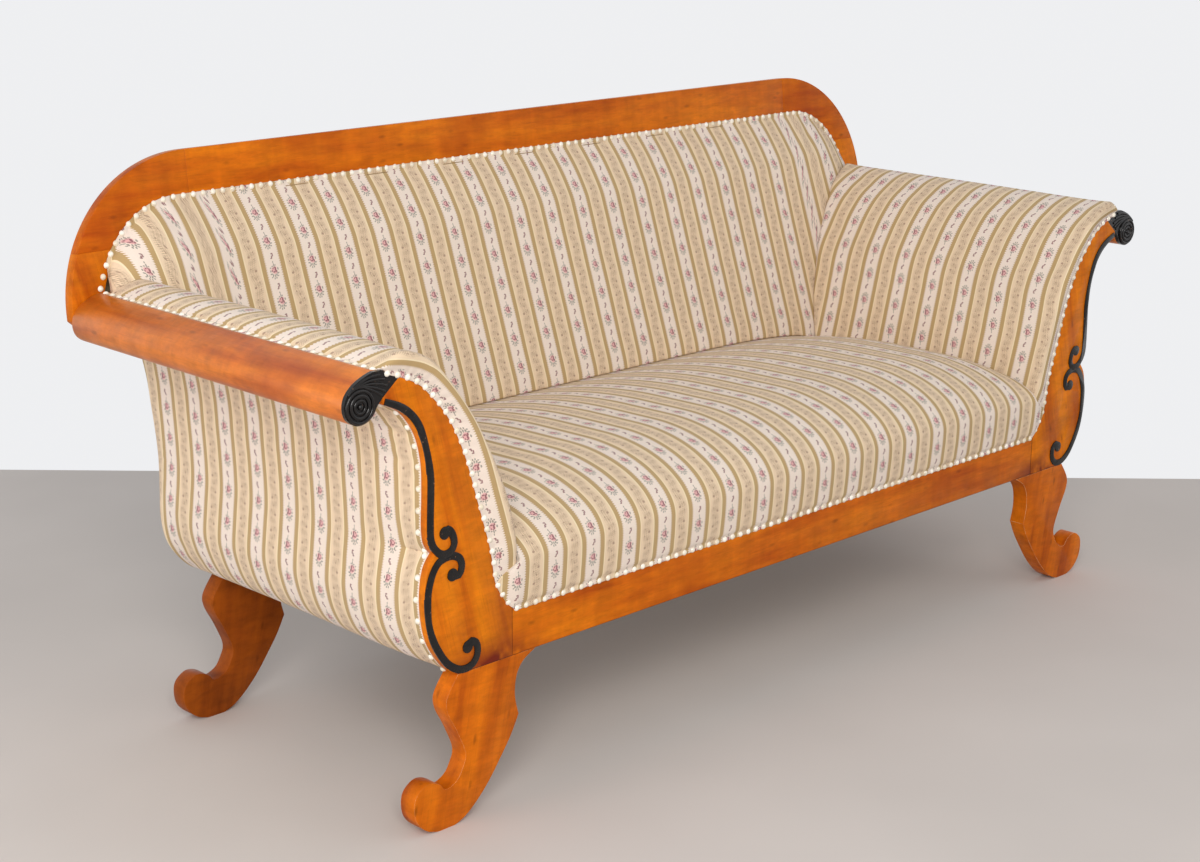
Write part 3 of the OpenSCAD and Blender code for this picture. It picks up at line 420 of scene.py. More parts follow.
def round_sawn_curves(piece, corner, cuts=2):
    """Put points on a smooth curve between the corners of each sawn outline"""
    shape = bmesh.new()
    shape.from_mesh(piece.data)
    sharp = {e for e in shape.edges if len(e.link_faces) == 2 and e.calc_face_angle() > corner}

    def beyond(edge, point):
        """Where the outline goes on to after this point, or None at a corner"""
        others = [e for e in point.link_edges if e in sharp and e is not edge]
        if len(others) != 1:
            return None
        far = others[0].other_vert(point).co
        turn = (point.co - edge.other_vert(point).co).angle(far - point.co, 0)
        return far if turn < corner else None

    places, curved = [], []
    for edge in sharp:
        (a, b), length = (v.co for v in edge.verts), edge.calc_length()
        before, after = (beyond(edge, v) for v in edge.verts)
        if before is None and after is None:
            continue
        leave = (b - before).normalized() * length if before else None
        arrive = (after - a).normalized() * length if after else None
        leave = leave or 1.5 * (b - a) - 0.5 * arrive
        arrive = arrive or 1.5 * (b - a) - 0.5 * leave
        for k in range(1, cuts + 1):
            t = k / (cuts + 1)
            places.append(a.lerp(b, t))
            curved.append((2 * t**3 - 3 * t**2 + 1) * a + (t**3 - 2 * t**2 + t) * leave
                          + (3 * t**2 - 2 * t**3) * b + (t**3 - t**2) * arrive)
    edges = [e for e in sharp if beyond(e, e.verts[0]) or beyond(e, e.verts[1])]
    bmesh.ops.subdivide_edges(shape, edges=edges, cuts=cuts, use_grid_fill=True)
    tree = KDTree(len(places))
    for i, place in enumerate(places):
        tree.insert(place, i)
    tree.balance()
    for point in shape.verts:
        _, i, gap = tree.find(point.co)
        if i is not None and gap < 0.01 * mm:
            point.co = curved[i]
    shape.to_mesh(piece.data)
    shape.free()


MERGE, FLAT = 0.02 * mm, radians(0.6)
OUTLINE_CORNER, BEVEL_CORNER, SMOOTH_CORNER = (radians(a) for a in (32, 38, 34))


def eased_copy(cad_name, name, finish, ease=1.2 * mm, edge=None):
    """Stand an eased copy in for a CAD piece; edge is the material of its bevels"""
    piece = add_piece(name, nodes[cad_name].data.copy())
    bpy.ops.object.mode_set(mode="EDIT")
    bpy.ops.mesh.select_all(action="SELECT")
    bpy.ops.mesh.remove_doubles(threshold=MERGE)
    bpy.ops.mesh.dissolve_limited(angle_limit=FLAT)
    bpy.ops.object.mode_set(mode="OBJECT")
    round_sawn_curves(piece, OUTLINE_CORNER)
    piece.data.materials.clear()
    piece.data.materials.append(finish)
    piece.data.materials.append(edge or finish)
    for face in piece.data.polygons:
        face.material_index = 0
    apply_modifier(piece, "BEVEL", width=ease, segments=2, limit_method="ANGLE",
                   angle_limit=BEVEL_CORNER, material=1, use_clamp_overlap=True)
    bpy.ops.object.shade_smooth_by_angle(angle=SMOOTH_CORNER)
    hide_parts(cad_name)
    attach(piece, "root")
    print(name, len(piece.data.polygons), "faces")


# %% [markdown]
# ## The show wood, piece by piece
# The front rail and the top rail stand alone. All other boards come in pairs.

# %% Feet, rails and panels
eased_copy("front_seat_rail", "front_rail", rail_veneer)
eased_copy("back_top_rail", "top_rail", rail_veneer)
PAIRED = (("foot_front", "front_foot", foot_veneer, 1.6 * mm, rubbed),
          ("foot_rear", "rear_foot", shaded_rear_foot_veneer, 1.6 * mm),
          ("arm_roll_rail", "roll_rail", arm_veneer, 1.0 * mm, rubbed),
          ("arm_panel", "panel", upright_veneer, 0.7 * mm),
          ("back_corner", "corner", rail_veneer, 0.8 * mm), ("back_stile", "stile", upright_veneer, 0.8 * mm),
          ("upper_inlay", "upper_band", ebony, 0.5 * mm), ("lower_inlay", "lower_band", ebony, 0.5 * mm))
for word in ("left", "right"):
    for cad_start, name, *look in PAIRED:
        eased_copy(f"{cad_start}_{word}", f"{name}_{word}", *look)

# %% [markdown]
# ## The striped cloth
# The cover is one woven pattern: an olive-brown line, a pinkish-white ribbon with scalloped edges and
# little rose bouquets, another brown line, and a beige ribbon with a fern-like garland. Two ribbons and
# two lines repeat every 86 mm. A stripe follows the cloth, not the room, so the finish reads a UV map
# that each cushion carries, in metres: U across the stripes and V along them. Petals and leaves are
# small ellipses, joined by taking the least of their distances. A second map holds the place along the
# nails and the distance from them, for the soft pulls between them.

# %% Weave the stripes
REPEAT, BOUQUET_PITCH, NAIL_PITCH = 86 * mm, 57 * mm, 21 * mm
BROWN, WHITE, BEIGE, PALE = tone(186, 156, 108), tone(237, 221, 207), tone(231, 206, 174), tone(241, 222, 186)
# Half widths of the beige ribbon, of its pale rim and of the white ribbon, and the size of a white tooth
BEIGE_HALF, RIM_HALF, WHITE_HALF, TOOTH_OUT, TOOTH = 14.6 * mm, 16.8 * mm, 13.8 * mm, 3.8 * mm, 4.4 * mm
# The drawing in ellipses: place across and along, half width and half length, in millimetres
PETALS = [(-1.6, 1.4, 4.6, 5.2), (2.2, 3.6, 3.2, 3.4), (1.4, -2.8, 4.6, 3.6)]
HEARTS = [(2.8, 1.8, 1.5, 4.6), (-0.6, -2.4, 2.6, 1.2), (4.6, -2.8, 1.2, 2.4), (-2.2, 4.4, 1.0, 1.6),
          (-4.6, 0.2, 0.9, 1.9), (0.6, 5.8, 1.4, 0.9), (2.0, -25.6, 2.4, 1.3), (3.2, 28.2, 1.3, 2.6),
          (3.2, -28.8, 1.3, 2.6), (0.6, 25.6, 1.3, 2.4), (-0.6, 23.2, 2.2, 1.2)]
LEAVES = [(-7.4, -5.0, 2.6, 1.3), (-4.4, -8.4, 1.4, 2.6), (-0.6, -9.6, 1.2, 2.8), (3.2, -9.0, 1.5, 2.6),
          (7.0, -6.2, 2.4, 1.4), (-8.0, 0.6, 1.3, 2.0), (8.2, 1.6, 1.3, 2.6), (-2.4, -14.2, 1.2, 2.1),
          (1.8, -14.0, 1.2, 2.0), (6.2, -11.2, 1.5, 1.3), (0.8, 10.2, 1.0, 3.8), (-2.8, 8.6, 1.7, 1.2),
          (3.6, 9.2, 1.4, 1.2), (0.2, 15.8, 1.0, 1.8), (-7.0, -11.2, 1.5, 1.2), (-7.2, 6.4, 1.5, 1.3)]
DOTS = [(4.4, 14.2, 2.6, 2.2), (-4.4, -14.2, 2.6, 2.2), (-6.4, 8.0, 1.2, 1.5), (6.4, -8.0, 1.2, 1.5),
        (-5.6, 21.0, 1.1, 1.5), (5.6, -21.0, 1.1, 1.5), (0.6, 1.0, 1.3, 1.5)]


def ellipse_field(across, along, shapes):
    """Below 1 inside any of the ellipses"""
    here = add(across.id_data, "CombineXYZ", (across, along))
    least = None
    for x, y, half_w, half_l in shapes:
        away = vector("SUBTRACT", here, (x * mm, y * mm, 0))
        away = vector("MULTIPLY", away, (1 / (half_w * mm), 1 / (half_l * mm), 0))
        distance = vector("LENGTH", away, out=1)
        least = distance if least is None else calc("MINIMUM", least, distance)
    return least


def inside(distance, ragged, softness):
    """1 where the distance is under 1, with a woven, ragged rim"""
    rim = minus(1.0, plus(distance, ragged))
    made = line(rim, softness, 0.5)
    made.node.use_clamp = True
    return made


def wave(value, period, shape="SINE"):
    return calc(shape, times(value, 2 * pi / period))


def garland_mask(x, v, ragged):
    """Fine slanting dashes on both sides of a slightly wavy stem"""
    swing = wave(v, BOUQUET_PITCH)
    from_stem = unsigned(line(swing, 2.4 * mm, x))
    fern = inside(over(from_stem, 8.5 * mm), ragged, 2.4)
    dashes = wave(line(from_stem, 0.8, v), 3.3 * mm)
    breaks = wave(from_stem, 3.9 * mm)
    clumps = wave(v, BOUQUET_PITCH / 4)
    threshold = line(breaks, 0.6, dashes)
    threshold = line(clumps, 0.4, threshold)
    return times(fern, inside(minus(1.0, threshold), ragged, 1.6))


def striped_cloth():
    """The cover's cloth, from two UV maps called cloth and pull"""
    material, tree, shader = new_material("striped_cloth")
    cloth = add(tree, "UVMap", uv_map="cloth")
    drift = vector("SUBTRACT", noise(cloth, 9, 2, out=1), (0.5, 0.5, 0.5))
    drift = vector("MULTIPLY", drift, (2.4 * mm, 2.4 * mm, 0))
    u, v, _ = split(vector("ADD", cloth, drift))
    speckle = minus(noise(cloth, 900, 2, 0.6), 0.5)
    ragged = times(speckle, 1.2)

    # Each ribbon and line is a range of distance from the middle of its own ribbon
    place = calc("WRAP", u, REPEAT, 0.0)
    white_x = minus(place, REPEAT / 4)
    beige_x = minus(place, 3 * REPEAT / 4)
    from_white, from_beige = unsigned(white_x), unsigned(beige_x)
    teeth = unsigned(wave(v, 2 * TOOTH))
    reach = line(teeth, TOOTH_OUT, WHITE_HALF)
    white = inside(over(from_white, reach), 0.0, 40.0)
    rim = inside(over(from_beige, RIM_HALF), 0.0, 40.0)
    beige = inside(over(from_beige, BEIGE_HALF), 0.0, 16.0)
    colour = blend(rim, BROWN, PALE)
    colour = blend(beige, colour, BEIGE)
    colour = blend(white, colour, WHITE)

    along = calc("WRAP", v, BOUQUET_PITCH / 2, -BOUQUET_PITCH / 2)
    petals, hearts, leaves, dots = (
        inside(ellipse_field(x, along, shapes), ragged, softness)
        for x, shapes, softness in ((white_x, PETALS, 2.0), (white_x, HEARTS, 2.4), (white_x, LEAVES, 3.4),
                                    (beige_x, DOTS, 2.4)))
    garland = garland_mask(beige_x, v, ragged)
    for mask, strength, dye in ((garland, 0.62, (164, 136, 112)), (dots, 0.7, (150, 116, 100)),
                                (leaves, 0.85, (136, 132, 120)), (petals, 0.8, (222, 158, 160)),
                                (hearts, 0.9, (132, 84, 88))):
        colour = blend(times(mask, strength), colour, tone(*dye))

    threads = times(wave(u, 0.9 * mm), wave(v, 0.7 * mm))
    shade = line(threads, 0.035, 1.0)
    shade = line(speckle, 0.26, shade)
    ages = noise(cloth, 5, 4, 0.6)
    shade = times(shade, line(ages, 0.10, 0.95))
    colour = blend(1.0, colour, add(tree, "CombineXYZ", (shade, shade, shade)), "MULTIPLY")

    # The soft pulls halve with every 12 mm from the nails
    along_nails, from_nails, _ = split(add(tree, "UVMap", uv_map="pull"))
    fade = calc("POWER", 0.5, over(unsigned(from_nails), 12 * mm))
    pulls = bump(times(fade, wave(along_nails, NAIL_PITCH, "COSINE")), 0.5 * mm)
    raised = plus(times(threads, 0.5), times(white, 0.5))
    raised = plus(raised, times(plus(petals, leaves), 0.8))
    set_inputs(shader, Base_Color=colour, Normal=bump(raised, 0.16 * mm, Normal=pulls), Roughness=0.75,
               Sheen_Weight=0.12, Sheen_Roughness=0.5, Specular_IOR_Level=0.25)
    return material


stripes = striped_cloth()
print("striped cloth has", len(stripes.node_tree.nodes), "nodes")

# %% [markdown]
# ## Outlines of the upholstery
# The arms follow measured outlines, given here as shares of an arm's spread and rise, from the roll
# rail down. A smooth curve through a few points is easy to correct. One is the nail line, one the skin
# of the cushion, and two shape the outer cover: the board's cusped edge and the cloth's belly.

# %% Curves through measured points
FRONT_Y, REAR_DEPTH, RAKE = -387.108 * mm, 691 * mm, tan(radians(6.45))
RAIL_Z, ARM_X, ARM_SPREAD, ARM_RISE = 261 * mm, 723 * mm, 350 * mm, 528 * mm
NAIL_LINE = [(0.763, 0.989), (0.72, 0.981), (0.669, 0.97), (0.597, 0.947), (0.537, 0.915), (0.414, 0.818),
             (0.32, 0.693), (0.24, 0.527), (0.169, 0.371), (0.137, 0.254), (0.069, 0.182)]
PAD_SKIN = [(0.794, 1.009), (0.749, 1.034), (0.671, 1.051), (0.54, 1.013), (0.449, 0.956), (0.3, 0.826),
            (0.206, 0.716), (0.091, 0.551), (0.029, 0.39), (0.017, 0.248), (0.02, 0.18)]
COVER_EDGE = [(0.786, 0.898), (0.674, 0.858), (0.591, 0.782), (0.554, 0.691), (0.551, 0.591),
              (0.557, 0.492), (0.545, 0.436), (0.509, 0.403), (0.551, 0.364), (0.572, 0.3),
              (0.572, 0.22), (0.546, 0.134), (0.486, 0.062), (0.42, 0.015), (0.35, 0)]
BELLY = [(0.769, 0.879), (0.68, 0.848), (0.612, 0.79), (0.583, 0.7), (0.574, 0.6),
         (0.566, 0.5), (0.564, 0.44), (0.565, 0.399), (0.569, 0.362), (0.579, 0.3),
         (0.59, 0.21), (0.572, 0.125), (0.51, 0.056), (0.43, 0.008), (0.35, 0)]
# Which point of the cover's edge is its cusp, and the steps from each point to the next
CUSP, STEPS = 7, 8


def smooth_curve(points, steps):
    """Catmull-Rom curve through the points, with steps from each to the next"""
    curve, last = [], len(points) - 1
    for i in range(last):
        a, b, c, d = (points[max(0, min(last, k))] for k in (i - 1, i, i + 1, i + 2))
        bend, twist = 2 * a - 5 * b + 4 * c - d, 3 * b - a - 3 * c + d
        for t in (k / steps for k in range(steps)):
            curve.append((2 * b + (c - a) * t + bend * t**2 + twist * t**3) / 2)
    return curve + [points[last]]


def arm_curve(shares):
    """The outline in the arm's front plane, as (x, z)"""
    return smooth_curve([Vector((ARM_X + q * ARM_SPREAD, RAIL_Z + r * ARM_RISE)) for q, r in shares], STEPS)


def cusped_curve(shares):
    """As arm_curve, but with a sharp point where the upper and the lower curve meet"""
    return arm_curve(shares[:CUSP + 1]) + arm_curve(shares[CUSP:])[1:]


def runs(points):
    """Length along the points up to each of them"""
    out = [0.0]
    for a, b in zip(points, points[1:]):
        out.append(out[-1] + (b - a).length)
    return out


def round_runs(ring):
    return runs(ring + ring[:1])


def mix(a, b, t):
    return a + (b - a) * t


nail_line, pad_skin = arm_curve(NAIL_LINE), arm_curve(PAD_SKIN)
cover_edge, belly = cusped_curve(COVER_EDGE), arm_curve(BELLY)
print("an arm's nails run over", round(runs(nail_line)[-1], 3), "m")

# %% [markdown]
# ## Shape of the seat and the back
# The seat is full at the front, crowned across and drawn down where it meets the arms. The back leans,
# is thickest at the seat and rolls in to nothing at its arched line of nails.

# %% Heights and depths of the stuffing
# The room is what a cover keeps flat round its nails
SEAT_HALF, NAIL_Z, NAIL_ROOM = 728.4 * mm, 342 * mm, 6.5 * mm
SEAT_EDGE_H, SEAT_ROLL, SEAT_SWELL, SWELL = 78 * mm, 200 * mm, 13 * mm, 11 * mm
SEAT_RISE, SEAT_CROWN, SEAT_FALL = 67 * mm, 39 * mm, 0.4
# Where along its half width the seat starts to drop to the arm, and by how much
SIDE_FROM, SIDE_DROP = 0.94, 8 * mm
ARCH_X, ARCH_RX, ARCH_RZ = 838.4 * mm, 184.6 * mm, 224.9 * mm
BACK_THICK, BACK_THIN, BACK_ROLL = 112 * mm, 0.27, 62 * mm
SLOPE = hypot(1, RAKE)
ARCH_TOP = 755 * mm * SLOPE - 81 * mm
ARCH_V = ARCH_TOP - ARCH_RZ


def back_line(z):
    """Depth of the back frame's face at height z"""
    return REAR_DEPTH + (z - RAIL_Z) * RAKE


def seat_top(x, y):
    """Height of the seat at x, and at depth y behind the front board"""
    q = abs(x) / SEAT_HALF
    drop = SIDE_DROP * max(0, (q - SIDE_FROM) / (1 - SIDE_FROM)) ** 2
    full = SEAT_RISE + SEAT_CROWN * (1 - q**6) - drop
    roll = min(1, max(0, SEAT_ROLL - y) / (SEAT_ROLL + SEAT_SWELL))
    fall = min(1, max(0, y / SEAT_ROLL - 1.5) / 1.5)
    return NAIL_Z + SEAT_EDGE_H + full * (sqrt(1 - roll**2) - SEAT_FALL * fall**2)


def back_front(x, z):
    """Depth of the stuffed back's face at x and height z"""
    v = (z - RAIL_Z) * SLOPE
    seat_v = (seat_top(0, REAR_DEPTH) - RAIL_Z) * SLOPE
    fall = max(0, min(1.1, (ARCH_TOP - v) / (ARCH_TOP - seat_v)))
    u = min(1, max(0, abs(x) - ARCH_X) / (ARCH_RX - NAIL_ROOM))
    w = max(0, v - ARCH_V) / (ARCH_RZ - NAIL_ROOM)
    edge = (1 - hypot(u, w)) * (mix(ARCH_RZ, ARCH_RX, u) - NAIL_ROOM)
    roll = max(0, min(1, edge / BACK_ROLL))
    return back_line(z) - BACK_THICK * mix(BACK_THIN, 1, fall) * sqrt(max(0, 1 - (1 - roll) ** 2))


print("seat is", round(seat_top(0, 0.4), 3), "m high in the middle")

# %% [markdown]
# ## Stuffing a cushion
# Every cushion is a closed skin lofted through rings. It starts a little small, its nailed and hidden
# edges are pinned, and a short cloth simulation under slight pressure lets the rest swell as stuffing
# does. How far a point may travel is capped, so the cushion stays where its CAD solid is.

# %% Loft, pin and swell
def skin(name, rings, cloth_map, pull_map):
    """A closed loft. The maps give (U, V) for ring i and point j, where j may be one past the last."""
    count = len(rings[0])
    faces, corners = [], []
    for i in range(len(rings) - 1):
        for j in range(count):
            quad = [(i, j), (i + 1, j), (i + 1, j + 1), (i, j + 1)]
            faces.append([a * count + b % count for a, b in quad])
            corners.append(quad)
    for i, turn in ((0, 1), (len(rings) - 1, -1)):
        for j in range(count // 2):
            strip = list(dict.fromkeys((j, j + 1, count - 2 - j, count - 1 - j)))[::turn]
            if len(strip) > 2:
                faces.append([i * count + k for k in strip])
                corners.append([(i, k) for k in strip])
    mesh = bpy.data.meshes.new(name)
    mesh.from_pydata([p for ring in rings for p in ring], [], faces)
    for uv_name, uv in (("cloth", cloth_map), ("pull", pull_map)):
        layer = mesh.uv_layers.new(name=uv_name)
        for face, places in zip(mesh.polygons, corners):
            for loop, (i, j) in zip(face.loop_indices, places):
                layer.data[loop].uv = uv(i, j)
    shape = bmesh.new()
    shape.from_mesh(mesh)
    if shape.calc_volume(signed=True) < 0:
        bmesh.ops.reverse_faces(shape, faces=shape.faces)
    shape.to_mesh(mesh)
    shape.free()
    return add_piece(name, mesh)


STUFFING = {"quality": 4, "mass": 0.3, "tension_stiffness": 12, "compression_stiffness": 12,
            "bending_stiffness": 0.6, "use_pressure": True, "uniform_pressure_force": 4.0,
            "vertex_group_mass": "held"}
FRAMES = 20


def plump(piece, free, shrink=3 * mm, cap=7 * mm):
    """Draw the free points in, then let pressure push them out again, cap at most from there"""
    mesh = piece.data
    normals = [v.normal.copy() for v in mesh.vertices]
    for index, share in free.items():
        mesh.vertices[index].co -= normals[index] * shrink * share
    held = piece.vertex_groups.new(name="held")
    held.add([v.index for v in mesh.vertices if v.index not in free], 1.0, "REPLACE")
    cloth = piece.modifiers.new("stuffing", "CLOTH")
    for key, value in STUFFING.items():
        setattr(cloth.settings, key, value)
    cloth.settings.effector_weights.gravity = 0
    cloth.collision_settings.use_collision = False
    cloth.point_cache.frame_start, cloth.point_cache.frame_end = 1, FRAMES
    for frame_number in range(1, FRAMES + 1):
        scene.frame_set(frame_number)
    swollen = piece.evaluated_get(bpy.context.evaluated_depsgraph_get()).data
    places = [v.co.copy() for v in swollen.vertices]
    piece.modifiers.remove(cloth)
    scene.frame_set(1)
    for index in free:
        point = mesh.vertices[index]
        travel = places[index] - point.co
        point.co += travel * min(1, cap / max(travel.length, 1e-9))
    piece.vertex_groups.remove(held)


def cushion(name, cad_name, rings, cloth_map, pull_map, free_share, fill=0.9, **swelling):
    """Loft, swell and smooth one cushion, and stand it in for its CAD pad; free_share(i, j) is 0 where the
    cloth is held
    """
    piece = skin(name, rings, cloth_map, pull_map)
    count = len(rings[0])
    free = {i * count + j: free_share(i, j) for i in range(1, len(rings) - 1) for j in range(count)}
    plump(piece, {k: s for k, s in free.items() if s > 0}, **swelling)
    apply_modifier(piece, "SUBSURF", levels=1, render_levels=1)
    piece.data.materials.append(stripes)
    bpy.ops.object.shade_smooth()
    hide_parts(cad_name)
    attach(piece, "root")
    print(name, len(piece.data.polygons), "faces")


def ease_in(distance, span):
    """From 0 at no distance to 1 at the span, slowly at both ends"""
    t = max(0, min(1, distance / span))
    return t * t * (3 - 2 * t)


print("cushions swell")

# %% [markdown]
# ## The seat
# Each ring is a slice from front to back: up from the nails over the rolled front edge, back under the
# back cushion, and home over the sprung canvas. The stripes run from front to back, so U is the place
# along the sofa, with a small measured shift, and V the length over the roll.

# %% Stuff the seat
# Stripes: place at the front nails, place at the back, and pitch against the woven one
SEAT_FRONT, SEAT_REAR, SEAT_PITCH = -24 * mm, 5 * mm, 0.99
# The cloth's hem runs on under the nails: depth over the wood and distance past the nail line
CLOTH, CUT_EDGE = 0.8 * mm, 0.2 * mm
HEM = [(CUT_EDGE, -4.5 * mm), (CLOTH, -4 * mm), (CLOTH, 3 * mm)]
HEM_RUN = 11 * mm
# Points of a ring: up the front, over the roll, along the top, down the rear and back underneath
UP, OVER, TOP_POINTS, DOWN, UNDER = 8, 24, 35, 5, 20
SEAT_REACH = len(HEM) + UP + OVER + TOP_POINTS - 1
# The hollow for the sprung canvas: height of its rim, its depth, its ends and the run of its slopes
RIM_Z, HOLLOW, HOLLOW_FRONT, HOLLOW_REAR, HOLLOW_SLOPE = 352 * mm, 47 * mm, 34 * mm, 642 * mm, 60 * mm


def seat_ring(x):
    """The seat's slice at x"""
    low, front_h = NAIL_Z + NAIL_ROOM, SEAT_EDGE_H - NAIL_ROOM
    end = back_line(NAIL_Z + SEAT_EDGE_H) - 0.5 * mm
    ring = [(-d, NAIL_Z + z) for d, z in HEM]
    for a in (pi / 2 * k / UP for k in range(UP)):
        ring.append((mix(-CLOTH, -SEAT_SWELL, sin(a)), low + front_h * (1 - cos(a))))
    for a in (pi / 2 * k / OVER for k in range(OVER)):
        ring.append((-SEAT_SWELL + (SEAT_SWELL + SEAT_ROLL) * (1 - cos(a)),
                     mix(low + front_h, seat_top(x, SEAT_ROLL), sin(a))))
    top = (mix(SEAT_ROLL, end, k / (TOP_POINTS - 1)) for k in range(TOP_POINTS))
    ring += [(y, seat_top(x, y)) for y in top]
    last_z = ring[-1][1]
    ring += [(end, mix(last_z, RIM_Z, k / DOWN)) for k in range(1, DOWN)]
    for y in (end * k / UNDER for k in range(UNDER, -1, -1)):
        rise = min(SEAT_HALF - abs(x), y - HOLLOW_FRONT, HOLLOW_REAR - y) / HOLLOW_SLOPE
        ring.append((y, RIM_Z + HOLLOW * max(0, min(1, rise))))
    return [Vector((x, FRONT_Y + y, z)) for y, z in ring]


# At both ends the seat's front is drawn on over the arm's cloth, out to the nails round the corner
LIP_POINTS, LIP_STEPS, CORNER_TOP = 12, 6, 405 * mm
corner = [Vector((SEAT_HALF, NAIL_Z))] + [nail for nail in nail_line[::-1] if nail.y < CORNER_TOP]
corner_run = runs(corner)


def corner_nail(share):
    """The place at this share of the corner's nails, and the way out from the cloth"""
    run = share * corner_run[-1]
    k = max(i for i in range(len(corner) - 1) if corner_run[i] <= run)
    way = corner[k + 1] - corner[k]
    return corner[k] + way * (run - corner_run[k]) / way.length, Vector((way.y, -way.x)).normalized()


def seat_lip(side, step):
    """The seat's end ring with its front stretched outwards, and how far up each point was moved"""
    ring = seat_ring(side * SEAT_HALF)
    share = min(1, step / LIP_STEPS)
    lifts, low, high = [0.0] * len(ring), ring[0].z, ring[LIP_POINTS - 1].z
    for j in range(LIP_POINTS):
        nail, out = corner_nail((ring[j].z - low) / (high - low))
        rim = nail + out * (4 if step <= LIP_STEPS else 4.5) * mm
        lifts[j] = share * (rim.y - ring[j].z)
        depth = mix(FRONT_Y - ring[j].y, 2 * CLOTH, ease_in(share, 1)) if step <= LIP_STEPS else CUT_EDGE
        ring[j] = Vector((side * mix(SEAT_HALF, rim.x, share), FRONT_Y - depth, ring[j].z + lifts[j]))
    return ring, lifts


SLICES = 140
slice_xs = [mix(-SEAT_HALF, SEAT_HALF, k / SLICES) for k in range(SLICES + 1)]
lips = {side: [seat_lip(side, step) for step in range(1, LIP_STEPS + 2)] for side in (-1, 1)}
seat_slices = lips[-1][::-1] + [(seat_ring(x), None) for x in slice_xs] + lips[1]
seat_rings, seat_lifts = zip(*seat_slices)
seat_xs = [-SEAT_HALF] * len(lips[-1]) + slice_xs + [SEAT_HALF] * len(lips[1])
end_run = round_runs(seat_ring(SEAT_HALF))
seat_runs = [end_run if lift else round_runs(ring) for ring, lift in seat_slices]


def seat_cloth(i, j):
    point, lift = seat_rings[i][j % len(seat_rings[i])], seat_lifts[i]
    shift = mix(SEAT_FRONT, SEAT_REAR, ease_in(seat_runs[i][j] - 120 * mm, 600 * mm))
    return point.x * SEAT_PITCH + shift, seat_runs[i][j] + (lift[j] if lift and j < LIP_POINTS else 0)


def seat_pull(i, j):
    return seat_rings[i][j % len(seat_rings[i])].x, seat_runs[i][j] - HEM_RUN


def seat_free(i, j):
    free = ease_in(seat_runs[i][j] - HEM_RUN, 30 * mm) * ease_in(SEAT_HALF - abs(seat_xs[i]), 25 * mm)
    return free if j < SEAT_REACH else 0


cushion("seat_cushion", "seat_pad", seat_rings, seat_cloth, seat_pull, seat_free)

# %% [markdown]
# ## The back
# Slices stand upright here. Each starts on the seat, or on the arm further out, and ends at the arched
# line of nails, where the stuffing has rolled away to nothing. The stripes stand upright too.

# %% Stuff the back
# Stripes: place on the seat, place at the arch, and pitch against the woven one
BACK_LOW, BACK_HIGH, BACK_PITCH = -6 * mm, 16 * mm, 0.986
# The arm's wood goes on past the nails; the back cushion reaches out to its upper end
WOOD_PAST = 9 * mm
wood_edge = [n + (s - n).normalized() * WOOD_PAST for n, s in zip(nail_line, pad_skin)]
BACK_HALF = wood_edge[0].x - 0.5 * mm
# Heights of a slice's points in front, closer together towards the arch, and their number behind
HEIGHTS, BEHINDS = 42, 8
front_shares = [0, 0.006] + [mix(0.02, 1, sin(pi / 2 * k / HEIGHTS)) for k in range(HEIGHTS + 1)]
TOP = len(front_shares) - 1


def height_on_arm(x):
    """Height of the arm's wood at x"""
    for a, b in zip(wood_edge, wood_edge[1:]):
        if a.x >= x > b.x:
            return mix(a.y, b.y, (a.x - x) / (a.x - b.x))
    return 0


def arch_z(x, grow):
    """Height of the nailed arch at x, grown outwards"""
    u = max(0, abs(x) - ARCH_X) / (ARCH_RX + grow)
    return RAIL_Z + (ARCH_V + (ARCH_RZ + grow) * sqrt(max(0, 1 - u * u))) / SLOPE


def back_ring(x):
    """The back's slice at x, up the front, over the nails and down behind"""
    low = max(height_on_arm(abs(x)), seat_top(min(abs(x), SEAT_HALF), REAR_DEPTH)) - 3 * mm
    high = arch_z(x, -NAIL_ROOM)
    front = [mix(low, high, share) for share in front_shares]
    ring = [(min(back_front(x, z), back_line(z) - CLOTH), z) for z in front]
    hem = [(d, arch_z(x, -past)) for d, past in HEM[::-1]] + [(CUT_EDGE, high)]
    ring += [(back_line(z) - d, z) for d, z in hem]
    rear_top = high - min(9 * mm, (high - low) / 2)
    rear = [mix(rear_top, low, k / BEHINDS) for k in range(BEHINDS + 1)]
    ring += [(back_line(z) - 2.5 * mm, z) for z in rear]
    return [Vector((x, FRONT_Y + y, z)) for y, z in ring]


# The slices stand closer towards both ends
back_ts = (k / 80 - 1 for k in range(161))
back_xs = [copysign(BACK_HALF * (1 - (1 - abs(t)) ** 1.15), t) for t in back_ts]
back_rings = [back_ring(x) for x in back_xs]
back_runs = [round_runs(ring) for ring in back_rings]
arch_runs = runs([ring[TOP] for ring in back_rings])


def back_cloth(i, j):
    run = back_runs[i][j]
    return back_xs[i] * BACK_PITCH + mix(BACK_LOW, BACK_HIGH, min(1, run / back_runs[i][TOP])), run


def back_pull(i, j):
    return arch_runs[i], back_runs[i][TOP] - back_runs[i][j]


def back_free(i, j):
    run, to_arch = back_runs[i][j], back_runs[i][TOP] - back_runs[i][j]
    free = ease_in(to_arch, 40 * mm) * ease_in(BACK_HALF - abs(back_xs[i]), 30 * mm) * ease_in(run, 20 * mm)
    return free if j < TOP else 0


cushion("back_cushion", "back_pad", back_rings, back_cloth, back_pull, back_free)

# %% [markdown]
# ## The arms
# An arm's rings run the other way: each starts at a nail on the front board, goes round the swollen
# front edge, straight back to the seam with the back cushion and home over the canvas. That puts the
# stripes parallel to the front edge, as the cloth was cut on the real arm.

